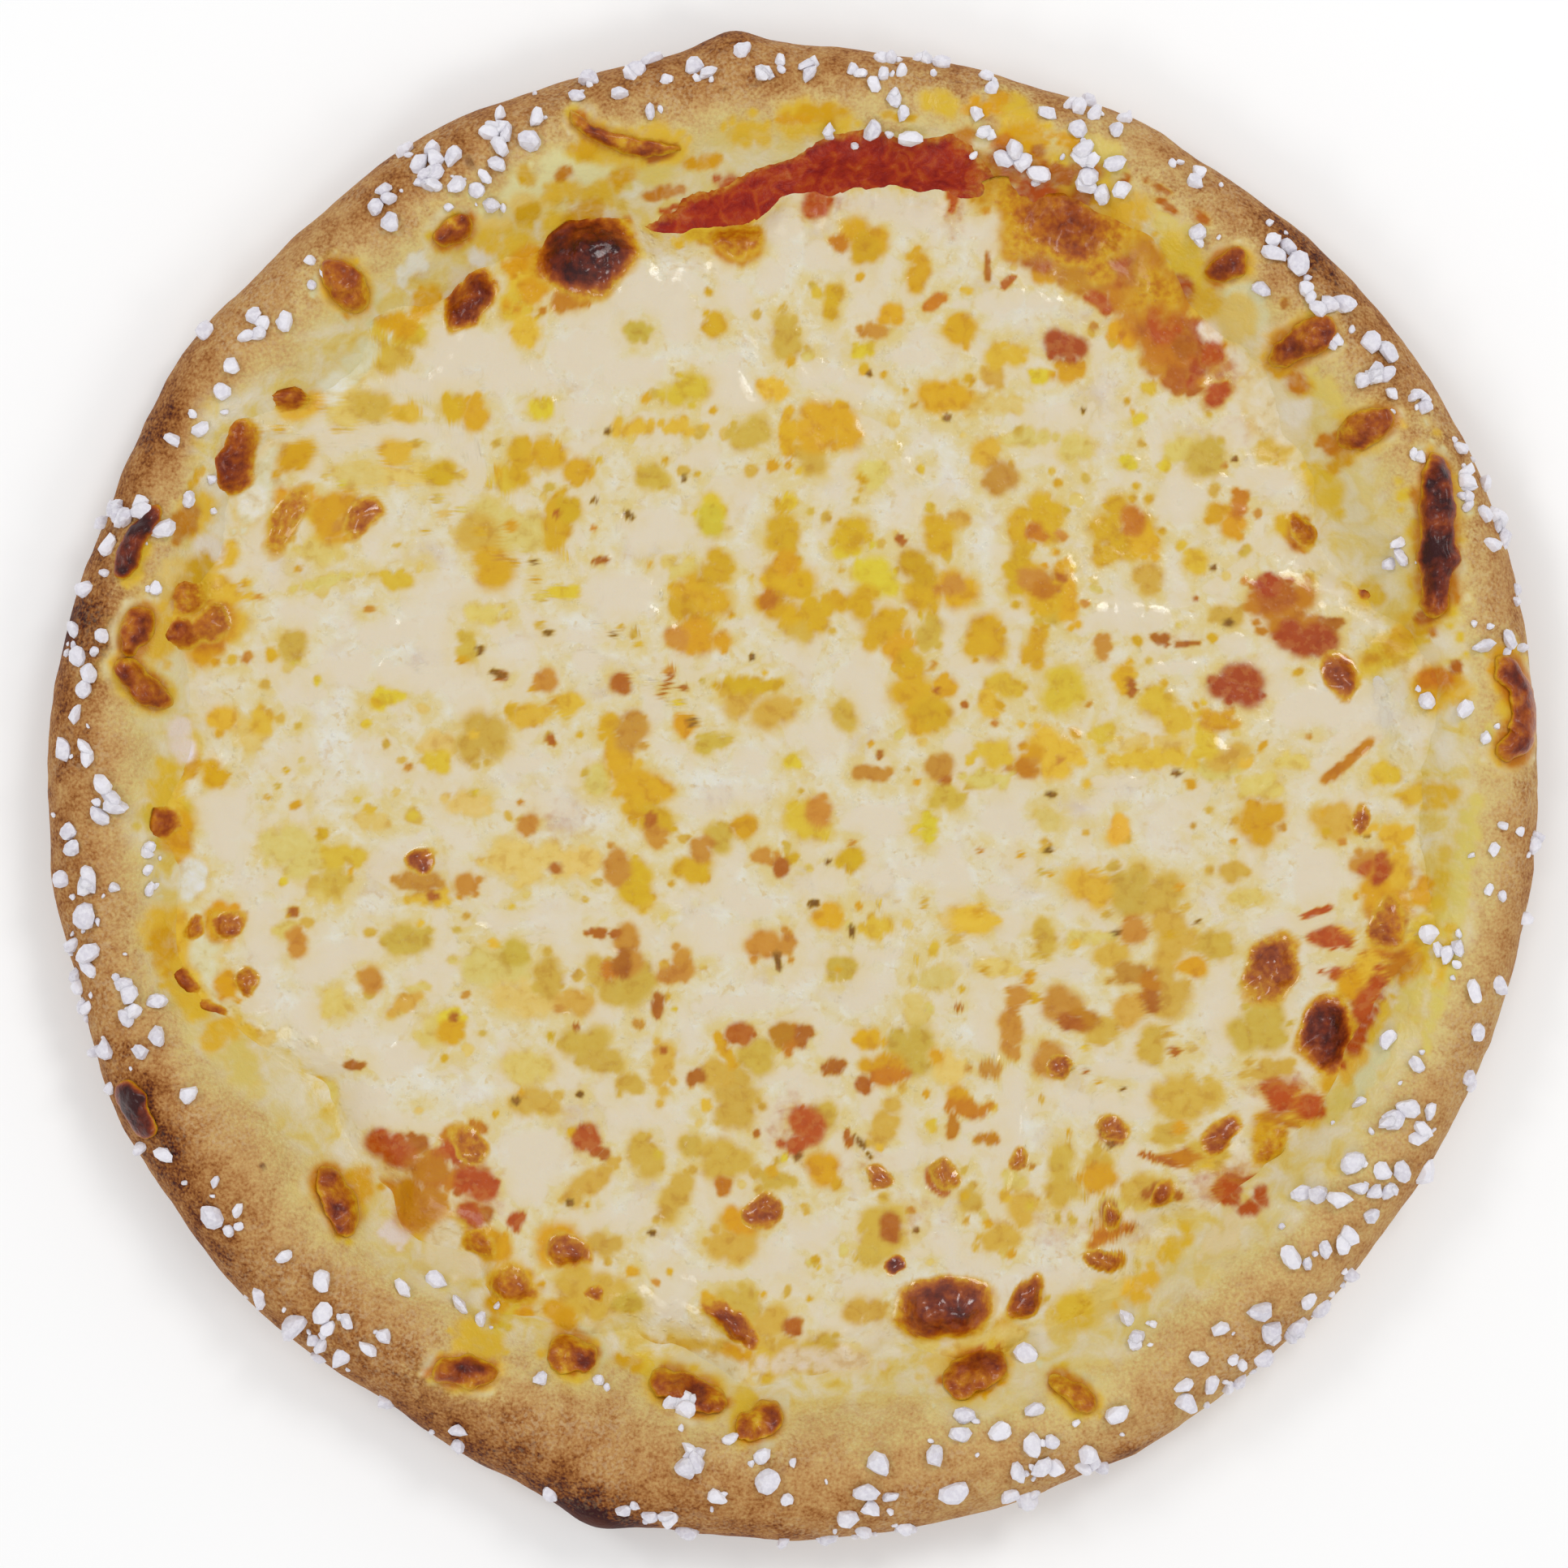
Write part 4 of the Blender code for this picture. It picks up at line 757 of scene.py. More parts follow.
# %% [markdown]
# ## The dough
# The rim of a baked pizza is a roll of dough: pale and smooth where the cheese kept it moist, tan on the
# crest, brown where it stood out into the heat, with a few spots of char. Its section is carried round
# the pizza: flat below, a quarter ellipse out to the widest point, another up to the crest, and a
# cosine slope down under the cheese. How far each place is baked is a number that depends on where it
# lies on the section, on the angle, and on noise; a colour ramp turns it into a colour.

# %% Where the rim is baked darker
# (angle, strength, width in degrees): the rim as a whole is browner towards these angles
TOASTED = (
    (48, 0.08, 14), (95, 0.1, 9), (120, 0.14, 16), (150, 0.16, 9), (166, 0.2, 8), (188, 0.14, 12),
    (213, 0.16, 11), (240, 0.19, 18), (266, 0.14, 12), (288, 0.04, 12), (318, -0.05, 32), (62, -0.02, 6),
)
# (angle, share of the rim's width, width in degrees): how much further in the tan reaches
TAN_REACH = (
    (8, -0.26, 16), (42, 0.1, 12), (72, -0.12, 12), (104, 0.05, 10), (128, 0.06, 12), (190, 0.12, 16),
    (214, 0.2, 12), (252, 0.36, 22), (276, 0.12, 10), (310, 0.16, 16), (340, -0.12, 10),
)
# (angle, radius, length along the rim, width across, strength) of browner and paler places
BAKED = (
    (252, 126, 36, 5, 0.12), (255, 127.5, 14, 5, 0.4), (255, 123, 16, 7, 0.16), (168, 125, 20, 6, 0.06),
    (94.5, 127.5, 14, 5, 0.12), (93, 119, 10, 5, 0.12), (297, 125.5, 16, 5, 0.24), (231, 117, 10, 8, 0.08),
    (207, 123, 12, 8, 0.08), (236, 112, 16, 10, 0.06), (150, 121.5, 14, 9, 0.08), (211, 119, 18, 10, 0.14),
    (354, 125, 14, 5, 0.08), (252, 111, 28, 12, 0.1), (225, 112, 26, 12, 0.04), (42, 124.5, 44, 9, 0.14),
    (30, 119, 12, 8, 0.1), (128, 126, 18, 6, -0.1), (208, 121, 14, 14, 0.04), (167, 120, 15, 9, 0.16),
    (80, 121, 22, 9, -0.06), (344, 124, 12, 8, -0.1), (328, 117, 12, 8, -0.08), (96, 119, 16, 6, 0.1),
    (120, 120, 14, 5, 0.08), (304, 126, 20, 5, -0.12), (336, 126, 20, 5, -0.12), (200, 113, 12, 6, 0.12),
    (316, 121, 14, 8, -0.12), (270, 119, 12, 8, -0.1), (286, 124, 16, 8, -0.08), (12, 124, 24, 7, 0.06),
    (204, 121, 14, 11, 0.2), (247, 122, 34, 8, 0.14), (220, 122, 22, 7, 0.12), (176, 121, 14, 6, 0.08),
    (148, 121, 14, 7, 0.08), (46, 126, 20, 5, 0.1),
)
# (angle, radius, length, width, strength) of small black or dark brown marks
MARKS = (
    (167.4, 126, 7, 4.4, 1.1), (255, 128.2, 8, 3, 0.9), (252, 127.4, 9, 2.4, 0.7), (258.5, 127, 6, 2.5, 0.6),
    (215.3, 109, 1.4, 1.4, 0.8), (117.2, 118.5, 1.2, 3.6, 0.8), (297, 125.8, 7, 2, 0.5),
    (246, 126.6, 8, 2, 0.4), (93, 118.8, 3.6, 1.4, 0.5), (95.5, 118.4, 1.6, 1.2, 0.5),
    (205.6, 123.2, 8.4, 6, 0.8),
)
# colour: (angle, radius, length along the rim, width across, lean if any) of films of fat and bits of cheese
RIM_PATCHES = {
    "pale": (
        (109, 110, 30, 9), (28, 106, 12, 4), (166, 108, 12, 9), (47, 112, 12, 6), (196, 105, 30, 9),
        (150, 104, 14, 6), (233, 97, 12, 8), (315, 105, 12, 4), (136, 104, 14, 5), (262, 99, 14, 5),
        (272, 97, 20, 5), (335, 108, 12, 4), (12, 108, 12, 6), (38, 104, 14, 8),
    ),
    "white": (
        (48, 106, 5, 4), (37, 107, 5, 5), (162, 104, 7, 6), (158, 107, 6, 5), (175, 104, 8, 5),
        (152, 104, 5, 5), (188, 103, 7, 5), (105, 106, 6, 4), (120, 106, 7, 4), (126, 109, 6, 4),
        (139, 104, 7, 4), (228, 101, 6, 4),
    ),
    "straw": (
        (350, 113, 40, 4), (344, 110, 16, 4), (103, 108, 10, 7), (346, 106, 14, 4), (300, 101, 16, 6),
        (288, 100, 18, 5), (54, 107, 14, 6), (47, 110, 8, 6), (117, 108, 14, 5), (330, 106, 8, 4),
        (64, 119, 12, 5), (56, 114, 9, 4), (36, 112, 10, 4), (206, 104, 10, 5), (162, 110, 12, 5),
    ),
    "gold": (
        (131.5, 113.5, 8, 8.5), (121, 110, 6, 5), (106, 113, 11, 4), (101, 110, 8, 4), (115, 104, 14, 6),
        (108, 106, 7, 4), (111, 108.6, 6, 4), (118.6, 106, 5, 4), (160.5, 117.5, 10, 5), (166, 112.5, 9, 6),
        (171, 110.5, 7, 8), (203, 106, 5, 6), (199, 108, 10, 5), (192.5, 109, 8, 8), (183, 106, 10, 9),
        (221.5, 102.5, 9, 6), (241, 103, 4, 12), (240.8, 111, 8, 5), (248.7, 102.7, 7, 7), (259, 102, 12, 5),
        (255.5, 100.5, 7, 3.5), (266, 105, 7, 6), (287.5, 103, 12, 7), (294.6, 111.5, 5, 9), (298.5, 101, 7, 7),
        (305, 103, 8, 4), (41.5, 110.5, 7, 5), (32, 110, 6, 7), (38.5, 109.5, 4, 4), (15, 108, 5, 7),
        (13.6, 103, 4, 5), (18.8, 103.7, 4.6, 4.6), (9, 110, 7, 10), (8, 122.5, 17, 8), (20.5, 113.6, 24, 4),
        (359.5, 108, 5, 9), (356, 102, 4, 8), (13.7, 106.2, 18, 5.4, -65), (50, 109, 8, 6), (344, 103, 12, 6),
        (335, 105, 10, 4), (352, 103, 10, 6), (142, 106, 9, 6), (155, 111, 8, 5), (328, 102, 5, 8),
        (72, 121, 8, 6), (98, 97, 12, 6), (65, 113, 14, 9), (88, 113, 16, 6), (94, 111, 10, 5),
        (310, 101, 8, 3), (60, 112, 11, 8), (54, 111, 10, 7), (72, 118, 12, 7), (78, 118, 8, 5),
        (104, 112, 14, 6), (180, 106, 10, 6), (165.5, 109.5, 12, 6), (195, 109.5, 12, 6), (240, 107, 10, 6),
        (163, 104, 16, 12), (347, 109.5, 16, 5), (346, 113, 12, 2.4), (353, 110.5, 7, 3), (339, 106.5, 8, 3),
        (30, 104, 10, 5),
    ),
    "amber": (
        (73.5, 122, 3, 3), (70.5, 115.5, 10, 6), (113.5, 112.5, 3, 3), (131.8, 109.8, 5, 3), (161, 107, 10, 5),
        (63, 109.5, 9, 6), (57, 108, 9, 6), (75, 119.5, 6, 3), (67, 118.5, 6, 3), (88, 114, 9, 3),
        (107, 113.5, 8, 4), (110, 104, 7, 4), (105.4, 107.6, 5, 2.6), (114.6, 107.4, 4, 3), (98, 107.4, 8, 2.4),
        (165, 102, 12, 8), (194, 110, 7, 4), (344.5, 108, 7, 4), (351, 108, 6, 3), (349, 104.5, 7, 4),
        (184, 104.5, 8, 5), (193, 101, 6, 4), (199, 101.5, 6, 4), (240, 100.5, 4, 7), (246, 98, 7, 5),
        (254, 101, 6, 2.6), (30.8, 107.8, 2.6, 4), (14.6, 107, 2.4, 6), (41.5, 108.6, 5, 2.4),
        (9.7, 110.3, 5, 9), (9.5, 121, 9, 6), (4, 121, 7, 5), (14.4, 108.2, 13, 3, -65), (350, 100, 6, 6),
        (116, 101, 10, 4), (341, 100, 7, 4), (90, 113, 6, 1.6), (81, 114.8, 7, 1.8), (75, 118.2, 5, 2),
        (288, 106, 8, 2), (146, 102, 8, 5), (152, 113.5, 6, 1.8), (236, 92, 8, 6), (222, 99, 8, 5),
        (118, 96, 8, 5), (127, 104, 7, 4),
    ),
    "orange": (
        (60, 106, 9, 8), (67, 109, 9, 6), (57, 108, 8, 5), (52, 105, 7, 6), (72.5, 109, 8, 9), (68, 106, 10, 9),
        (75.5, 113, 4, 6), (61, 100, 9, 7), (55.5, 101, 8, 7), (68.5, 112.5, 8, 4), (61, 106, 8, 6),
        (72, 114.5, 5, 3), (64.5, 115.5, 5, 3), (55, 106, 7, 5), (345.5, 104.5, 5, 4), (50, 98, 9, 8),
        (164.3, 102.5, 8, 6), (162.5, 108, 4, 3), (156, 112, 8, 3.6), (96, 94, 10, 8), (228, 95, 8, 10),
        (226, 89, 7, 7), (33, 108, 4, 3), (39, 109.5, 3.4, 3.2), (15.4, 110.6, 2.6, 2.6), (10, 110, 3, 6),
        (21, 115.2, 22, 2.4), (344, 106.5, 6, 3), (305, 92, 8, 3), (113, 92, 14, 5), (102, 103.8, 9, 2.2),
        (107.4, 101, 6, 2.6), (110.4, 111, 3, 2),
    ),
    "toast": (
        (59, 118.6, 6, 1.6), (61.5, 116.4, 2, 4), (57.4, 116.6, 5, 1.8), (54.6, 118.4, 4, 2),
        (66.5, 113.4, 6, 3), (64, 111.6, 5, 2.4), (69, 115.2, 3, 2), (44.8, 116.4, 3, 2), (72, 112.5, 4, 3),
        (49, 101, 5, 4), (47, 95.5, 5, 4), (347.5, 103.8, 6, 4), (27, 97, 6, 4), (10.7, 113.2, 2.4, 2.4),
        (6.5, 126, 8, 2), (9, 122.8, 6, 4), (3.6, 121.4, 5, 5), (15.6, 110.6, 4, 2.4, -65), (288, 101.5, 3, 4),
        (102.2, 109.6, 5, 2),
    ),
    "tomato": (
        (58, 104, 7, 4), (63, 104, 6, 3.5), (53, 103, 6, 4), (51.7, 101, 6, 5), (53, 108, 5, 3),
        (338.5, 104, 17, 4), (328.7, 103, 5, 5), (327.8, 97.5, 5, 5), (318.5, 105, 6, 3), (317.5, 101, 4, 6),
        (352.5, 101, 5, 3), (233, 90, 5, 4), (100.5, 101, 12, 2), (94, 103, 14, 4.5), (70.5, 111, 4, 4),
        (68, 108.6, 8, 6), (43, 99, 5, 5), (64.5, 109, 6, 4), (46, 103, 4, 4), (58, 98, 5, 3),
    ),
}


# node name, the run of its middle line as (angle, radius), width, height, share of black in its brown
DROPS = (
    ("charred_strip", ((26.5, 120.2), (21.5, 116.2), (16.6, 112.4)), 6.4, 3, 1.15),
    ("edge_bubble", ((9.6, 121.4), (8, 123.8), (5.8, 124.4), (3.9, 122.4), (3.5, 120.4)), 5.6, 2.2, 0.7),
    ("cheese_drop_a", ((41.7, 111.2), (41.4, 114), (41.1, 117.6)), 5.8, 2.6, 0.5),
    ("cheese_drop_b", ((32.4, 112), (32.3, 116)), 5.8, 2.4, 0.4),
    ("cheese_drop_c", ((50.7, 113.4), (50.1, 115.6)), 4.6, 2, 0.4),
    ("cheese_strand", ((107.9, 119.3), (107.2, 116), (105.2, 112.8), (102.7, 110.4), (100.6, 109.8)),
     2.3, 1.6, 0.3),
    ("cheese_drop_d", ((122.2, 110), (120.4, 110)), 3.6, 1.8, 0.4),
    ("cheese_drop_e", ((131.5, 112), (131.5, 115.2)), 6.2, 2.6, 0.4),
    ("cheese_drop_f", ((161.4, 118.5), (159, 118), (156.8, 117)), 4.4, 2.2, 1.3),
    ("cheese_drop_g", ((167.4, 113.6), (165.2, 113.4)), 4.6, 2.2, 0.4),
    ("cheese_drop_h", ((171.6, 108.2), (170.8, 110.8), (169.6, 113.4)), 4.6, 2.4, 0.5),
    ("burnt_patch", ((207, 122.7), (204.6, 123.2)), 5.4, 1.3, 1.4),
    ("cheese_drop_i", ((224, 105), (222.2, 103.4), (219.8, 102.8)), 4.6, 2.4, 0.5),
    ("cheese_drop_j", ((242, 110.4), (240.4, 111.8), (239, 113.2)), 4.6, 2.4, 0.5),
    ("cheese_drop_k", ((249.4, 102.4), (247.8, 102.4)), 5.4, 2, 0.3),
    ("cheese_drop_l", ((262.6, 103.9), (260.4, 103.4), (257.8, 102.6)), 5, 2.6, 0.6),
    ("cheese_drop_m", ((267.8, 105.8), (266, 107)), 4.6, 2.2, 0.4),
    ("cheese_drop_n", ((289, 102.8), (286, 103.6)), 6, 2.6, 0.5),
    ("cheese_drop_o", ((295.6, 114), (295.2, 111.8), (294.2, 109.2)), 3.6, 1.8, 0.1),
)


def arc_patches(tables):
    """Patches given by angle and radius, lying along the rim, as (x, y, length, width, turn)."""
    return {
        name: [(*place(a, r), along, across, a + 90 + sum(lean)) for a, r, along, across, *lean in rows]
        for name, rows in tables.items()
    }


def spots(x, y, table, seed):
    """Sum of strength * exp(-d^2) over ellipses that lie along the rim, their outlines swayed by noise."""
    sway = 0.35 * rough(x, y, 0, 6, seed)
    total = np.zeros_like(x)
    for angle, radius, length, width, strength in table:
        cx, cy = place(angle, radius)
        turn = math.radians(angle + 90)
        along = ((x - cx) * math.cos(turn) + (y - cy) * math.sin(turn)) / (length / 2)
        across = ((y - cy) * math.cos(turn) - (x - cx) * math.sin(turn)) / (width / 2)
        total += strength * np.exp(-(along**2 + across**2) * (1 + sway))
    return total


def skirts():
    """Fat that ran out of the stray bits: patches along each one's middle line that are wider than it is."""
    rows = {"pale": [], "gold": [], "orange": []}
    for _, path, width, _, char in DROPS:
        if char > 1.2:
            continue
        for start, end in zip(path[:-1], path[1:]):
            (x0, y0), (x1, y1) = place(*start), place(*end)
            length, turn = math.hypot(x1 - x0, y1 - y0), math.degrees(math.atan2(y1 - y0, x1 - x0))
            for name, wider in (("pale", 3.6), ("gold", 1.8), ("orange", 0.5)):
                rows[name].append(((x0 + x1) / 2, (y0 + y1) / 2, length + width + wider, width + wider, turn))
    return rows


rim_patches = arc_patches(RIM_PATCHES)
for name, rows in skirts().items():
    rim_patches[name] = rows + rim_patches.get(name, [])
print("patches on the rim:", sum(map(len, rim_patches.values())))

# %% [markdown]
# The section's corners are given by a share from 0 to 1 along each of its parts. Rows are close
# together where the dough shows and far apart under the cheese.

# %% The dough's skin
DOUGH_COLUMNS = 840
BUBBLES = (
    (255, 127.5, 8, 5, 1), (94.5, 128, 7, 4, 0.8), (297, 125, 7, 4, 0.5),
    (148, 122, 7, 4, 0.5), (231, 117, 6, 5, 0.5), (205, 123, 9, 6, 0.6),
)


def dough_rings():
    """Rings of (x, y, z) from the middle of the underside, out round the rim and in over its slope."""
    angle = whole_turn(DOUGH_COLUMNS)
    edge, width, height = outline(angle), rim_width(angle), rim_height(angle)
    crest = CREST_AT * width
    radii, heights = [], []
    for share in np.linspace(0.04, 1, 24):
        radii.append(share * (edge - BASE_INSET))
        heights.append(0 * edge)
    for share in np.linspace(0, 1, 15)[1:]:
        turn = share * math.pi / 2
        radii.append(edge - BASE_INSET * (1 - math.sin(turn)))
        heights.append(WIDEST_HEIGHT * (1 - math.cos(turn)) + 0 * edge)
    for share in np.linspace(0, 1, 23)[1:]:
        turn = share * math.pi / 2
        radii.append(edge - crest * (1 - math.cos(turn)))
        heights.append(WIDEST_HEIGHT + (height - WIDEST_HEIGHT) * math.sin(turn))
    slope = width + SLOPE_UNDER_CHEESE - crest
    for fall in np.concatenate([np.linspace(0, 0.82, 45)[1:], [0.9, 1.0]]):
        radii.append(edge - crest - fall * slope)
        heights.append(FLOOR_HEIGHT + (height - FLOOR_HEIGHT) * (0.5 + 0.5 * math.cos(math.pi * fall)))
    for share in (0.7, 0.35, 0.1):
        radii.append(share * (edge - width - SLOPE_UNDER_CHEESE))
        heights.append(FLOOR_HEIGHT + 0 * edge)
    radius = np.concatenate(radii)
    x, y = place(angle + 0 * radius, radius)
    return np.stack([x, y, np.concatenate(heights)], -1)


def facing(rings):
    """Outward normals of the rings: the cross product of the steps along and across them."""
    along = np.roll(rings, -1, 1) - np.roll(rings, 1, 1)
    across = np.gradient(rings, axis=0)
    normal = np.cross(along, across)
    return normal / np.maximum(np.linalg.norm(normal, axis=-1, keepdims=True), 1e-9)


def dents_at(x, y, z):
    """Dents and bumps of the dough: noise of three sizes, and a few baked bubbles."""
    noise = 0.45 * rough(x, y, z, 16, 3, 2) + 0.16 * rough(x, y, z, 4.5, 9, 3)
    return noise + 0.9 * spots(x, y, BUBBLES, 5)


def dough_skin(x, y):
    """Height of the dented dough, for whatever lies on it."""
    height = dough_top(x, y)
    return height + dents_at(x, y, height)


def uneven_dough(rings):
    """Moves each corner along its normal by its dents; the underside stays on the floor."""
    x, y, z = np.moveaxis(rings, -1, 0)
    dents = dents_at(x, y, z)
    moved = rings + facing(rings) * np.where(z > 0.5, dents, 0)[..., None]
    moved[..., 2] = np.where(z <= 0.5, np.abs(dents) * smooth(1 - z * 2) * 0.6, moved[..., 2])
    moved[..., 2] = np.maximum(moved[..., 2], 0)
    return moved


def baked_dough(rings):
    """How far each corner is baked: pale on the wet slope, tan on the crest, brown outside, then tables."""
    x, y, z = np.moveaxis(rings, -1, 0)
    angle, radius = polar(x, y)
    share = (outline(angle) - radius) / rim_width(angle)
    crown = 1 - smooth((share - 0.06) / (0.93 + lobes(angle, TAN_REACH)))
    bake = 0.1 + (0.53 + lobes(angle, TOASTED)) * crown + 0.03 * smooth(1 - share / 0.1)
    bake += 0.05 * rough(x, y, z, 22, 31, 2) + 0.07 * rough(x, y, z, 7, 37, 3)
    bake += spots(x, y, BAKED, 41) * smooth((z - 2) / 5)
    bake -= 0.26 * np.maximum(bake - 0.62, 0)
    bake += 0.06 * smooth((5 - z) / 5)
    return bake


rings = dough_rings()
bake = baked_dough(rings)
skin = uneven_dough(rings)
flat_x, flat_y = skin[..., 0].ravel(), skin[..., 1].ravel()
film, film_stain, film_haze = painted(flat_x, flat_y, rim_patches, 211)
flat_z = skin[..., 2].ravel()
outside = (flat_z > 3).astype(float)
marks = spots(flat_x, flat_y, MARKS, 51) * smooth((flat_z - 2.5) / 5)
oil = (1 - smooth((bake.ravel() - 0.18) / 0.22)) * outside
shape = skin.shape[:2]
flat_angle, flat_radius = polar(flat_x, flat_y)
soaked = (1 - smooth((flat_radius - melt_edge(flat_angle) - 0.5) / 5)) * outside
wall = smooth((flat_radius - outline(flat_angle) + 5) / 2)
wetted = outside * (1 - wall * (1 - smooth((flat_z - 8) / 4)))     # no fat runs down the side
dough_points, dough_faces = closed_skin(skin, (0, 0, 0.3), (0, 0, FLOOR_HEIGHT))
dough_layers = {
    "bake": around(bake, 0.5, 0.2),
    "film": around((film * wetted).reshape(shape), 0.0, 0.0),
    "haze": around((film_haze * wetted).reshape(shape), 0.0, 0.0),
    "stain": around(film_stain.reshape(*shape, 3), np.ones(3) * 0.3, np.ones(3) * 0.3),
    "mark": around(marks.reshape(shape), 0.0, 0.0),
    "oil": around(oil.reshape(shape), 0.0, 0.0),
    "under": around(1 - smooth(rings[..., 2] / 2.5), 1.0, 0.0),
    "soaked": around(soaked.reshape(shape), 0.0, 0.0),
}
print("rings:", shape, "bake from", round(float(bake.min()), 2), "to", round(float(bake.max()), 2))

# %% [markdown]
# The finish adds what is finer than the mesh: a sandy crumb of light and dark specks, tiny pits, and on
# the underside the brown spots that a hot stone leaves. The wet slope is glossier than the dry crest.

# %% Finish of the dough
PALE_TO_CHAR = (
    (0.0, (0.69, 0.6, 0.34)), (0.16, (0.665, 0.535, 0.225)), (0.32, (0.625, 0.445, 0.17)),
    (0.46, (0.575, 0.355, 0.138)), (0.59, (0.505, 0.275, 0.1)), (0.71, (0.405, 0.182, 0.058)),
    (0.82, (0.275, 0.098, 0.026)), (0.91, (0.145, 0.042, 0.012)), (1.0, (0.05, 0.015, 0.01)),
)
dough_look, tree, shader = new_look("baked_dough")
baked, soaked_in = read(tree, "bake"), read(tree, "soaked")
wet = step(tree, read(tree, "oil"), 0.1, 0.9)
sand = minus(tree, grain(tree, 0.55, 3), 0.5)
cloud = minus(tree, grain(tree, 3.2, 5, 0.4), 0.5)
stone = step(tree, grain(tree, 13, 4, 0.8), 0.5, 0.68, 0.0, 0.45)
value = plus(
    tree, baked, times(tree, sand, step(tree, baked, 0.3, 0.75, 0.74, 0.62)), times(tree, cloud, 0.5),
    times(tree, stone, read(tree, "under")),
)
bloom = times(
    tree, step(tree, grain(tree, 0.8, 3), 0.48, 0.62, 0.0, 0.42),
    step(tree, grain(tree, 11, 2), 0.4, 0.62),
    step(tree, baked, 0.25, 0.5), step(tree, baked, 0.6, 0.85, 1.0, 0.3),
)
colour = mixed(tree, bloom, ramp(tree, value, PALE_TO_CHAR), (0.62, 0.45, 0.26))
melt = use(tree, melt_tree, {"Warmth": MELT_WARMTH})
colour = mixed(tree, larger(tree, times(tree, wet, 0.8), soaked_in), colour, melt)
hazy = times(
    tree, read(tree, "haze"), step(tree, grain(tree, 3, 4, 0.5), 0.35, 0.65, 0.1, 0.8),
    step(tree, value, 0.35, 0.75, 1.0, 0.1), minus(tree, 1.0, soaked_in),
)
colour = mixed(tree, hazy, colour, (0.7, 0.575, 0.24))
mask = ragged(tree, read(tree, "film"), 0.45, 0.4)
thin = times(tree, mask, step(tree, grain(tree, 2.2, 3, 0.5), 0.25, 0.6, 0.72, 1.0))
colour = mixed(tree, thin, colour, read(tree, "stain", "Color"))
colour = mixed(tree, ragged(tree, read(tree, "mark"), 0.3, 0.35), colour, (0.09, 0.027, 0.018))
glossy = larger(tree, wet, mask)
pits = plus(tree, times(tree, grain(tree, 0.6, 3), 0.7), grain(tree, 1.7, 3))
oily = use(tree, oil_tree, {"Wrinkles": 0.6})
relief = plus(tree, times(tree, pits, minus(tree, 1.15, glossy)), times(tree, oily, glossy))
feed(tree, shader, {
    "Base Color": colour, "Roughness": minus(tree, 0.7, times(tree, glossy, 0.42)),
    "Specular IOR Level": 0.22, "Normal": bumps(tree, relief, 0.5, 0.5),
    **translucent(0.08, (1.0, 0.5, 0.25), 1.5),
})
add_piece("crust_dough", dough_points, dough_faces, dough_layers, dough_look, ["crust"])

# %% [markdown]
# ## The sauce
# Tomato sauce shows in one curved gap between cheese and rim, and lies hidden under the rest of the
# cheese. Its outer edge is read off as pairs of angle and radius, and its skin thins out to the dough
# there.

# %% The sauce's skin
# (angle, radius) of its outer edge where it shows
SAUCE_LINE = (
    (58, 98), (66, 104), (70, 107), (72.5, 110.5), (74.5, 113.6), (76.5, 114.4), (78.5, 113.4), (81, 112.8),
    (85, 112.4), (88, 110.4), (90, 108.8), (93, 107), (96, 105), (99, 103.2), (102, 101.8), (105, 100.6),
    (110, 98),
)
SAUCE_COLUMNS = 720


def sauce_outline(angle):
    """The read line where the sauce shows, elsewhere 10 mm inside the solid cheese's edge, and some noise."""
    line = np.array(SAUCE_LINE)
    shown = np.interp(angle, line[:, 0], line[:, 1], left=0, right=0)
    x, y = place(angle, 100.0)
    return np.maximum(shown, cheese_edge(angle) - 10) + 0.7 * rough(x, y, 0, 4, 71)


def sauce_skin():
    """Rings out over the top and back below; the top rises by a root curve from a thin edge."""
    angle = whole_turn(SAUCE_COLUMNS)
    edge = sauce_outline(angle)
    radii, lifts = [], []
    for inside in (100, 60, 30, 16):
        radii.append(np.maximum(edge - inside, 3.0))
        lifts.append(0.35)
    for inside in (8, 3, 0.6):
        radii.append(edge - inside)
        lifts.append(-0.3)
    for inside in np.linspace(0, 1, 26) ** 1.4 * 22:
        radii.append(edge - inside)
        lifts.append(-0.05 + 1.05 * float(smooth(inside / 6)))
    for inside in (40, 70, 100):
        radii.append(np.maximum(edge - inside, 3.0))
        lifts.append(1.05)
    radius = np.concatenate(radii)
    lift = np.array(lifts)[:, None]
    x, y = place(angle + 0 * radius, radius)
    lumps = 0.28 * rough(x, y, 0, 5, 77) + 0.12 * rough(x, y, 0, 1.8, 78)
    z = dough_skin(x, y) + lift + lumps * (lift > 0.4) * lift
    return np.stack([x, y, z], -1)


sauce_rings = sauce_skin()
sauce_points, sauce_faces = closed_skin(sauce_rings, (0, 0, 5.35), (0, 0, 6.05))
sauce_angle, sauce_radius = polar(sauce_rings[..., 0], sauce_rings[..., 1])
thinness = 1 - smooth((sauce_outline(sauce_angle) - sauce_radius) / 3.2)
thinness = np.maximum(thinness, 0.55 * smooth((76 - sauce_angle) / 4))
sauce_layers = {"thin": around(thinness, 0.0, 0.0)}
print("rings of the sauce:", sauce_rings.shape[:2])

# %% [markdown]
# Cooked sauce is a wet, lumpy red that dries to orange where it is thin. Noise picks the shades of wet
# and dried sauce, and the thinness kept on the mesh chooses between the two with a ragged outline.

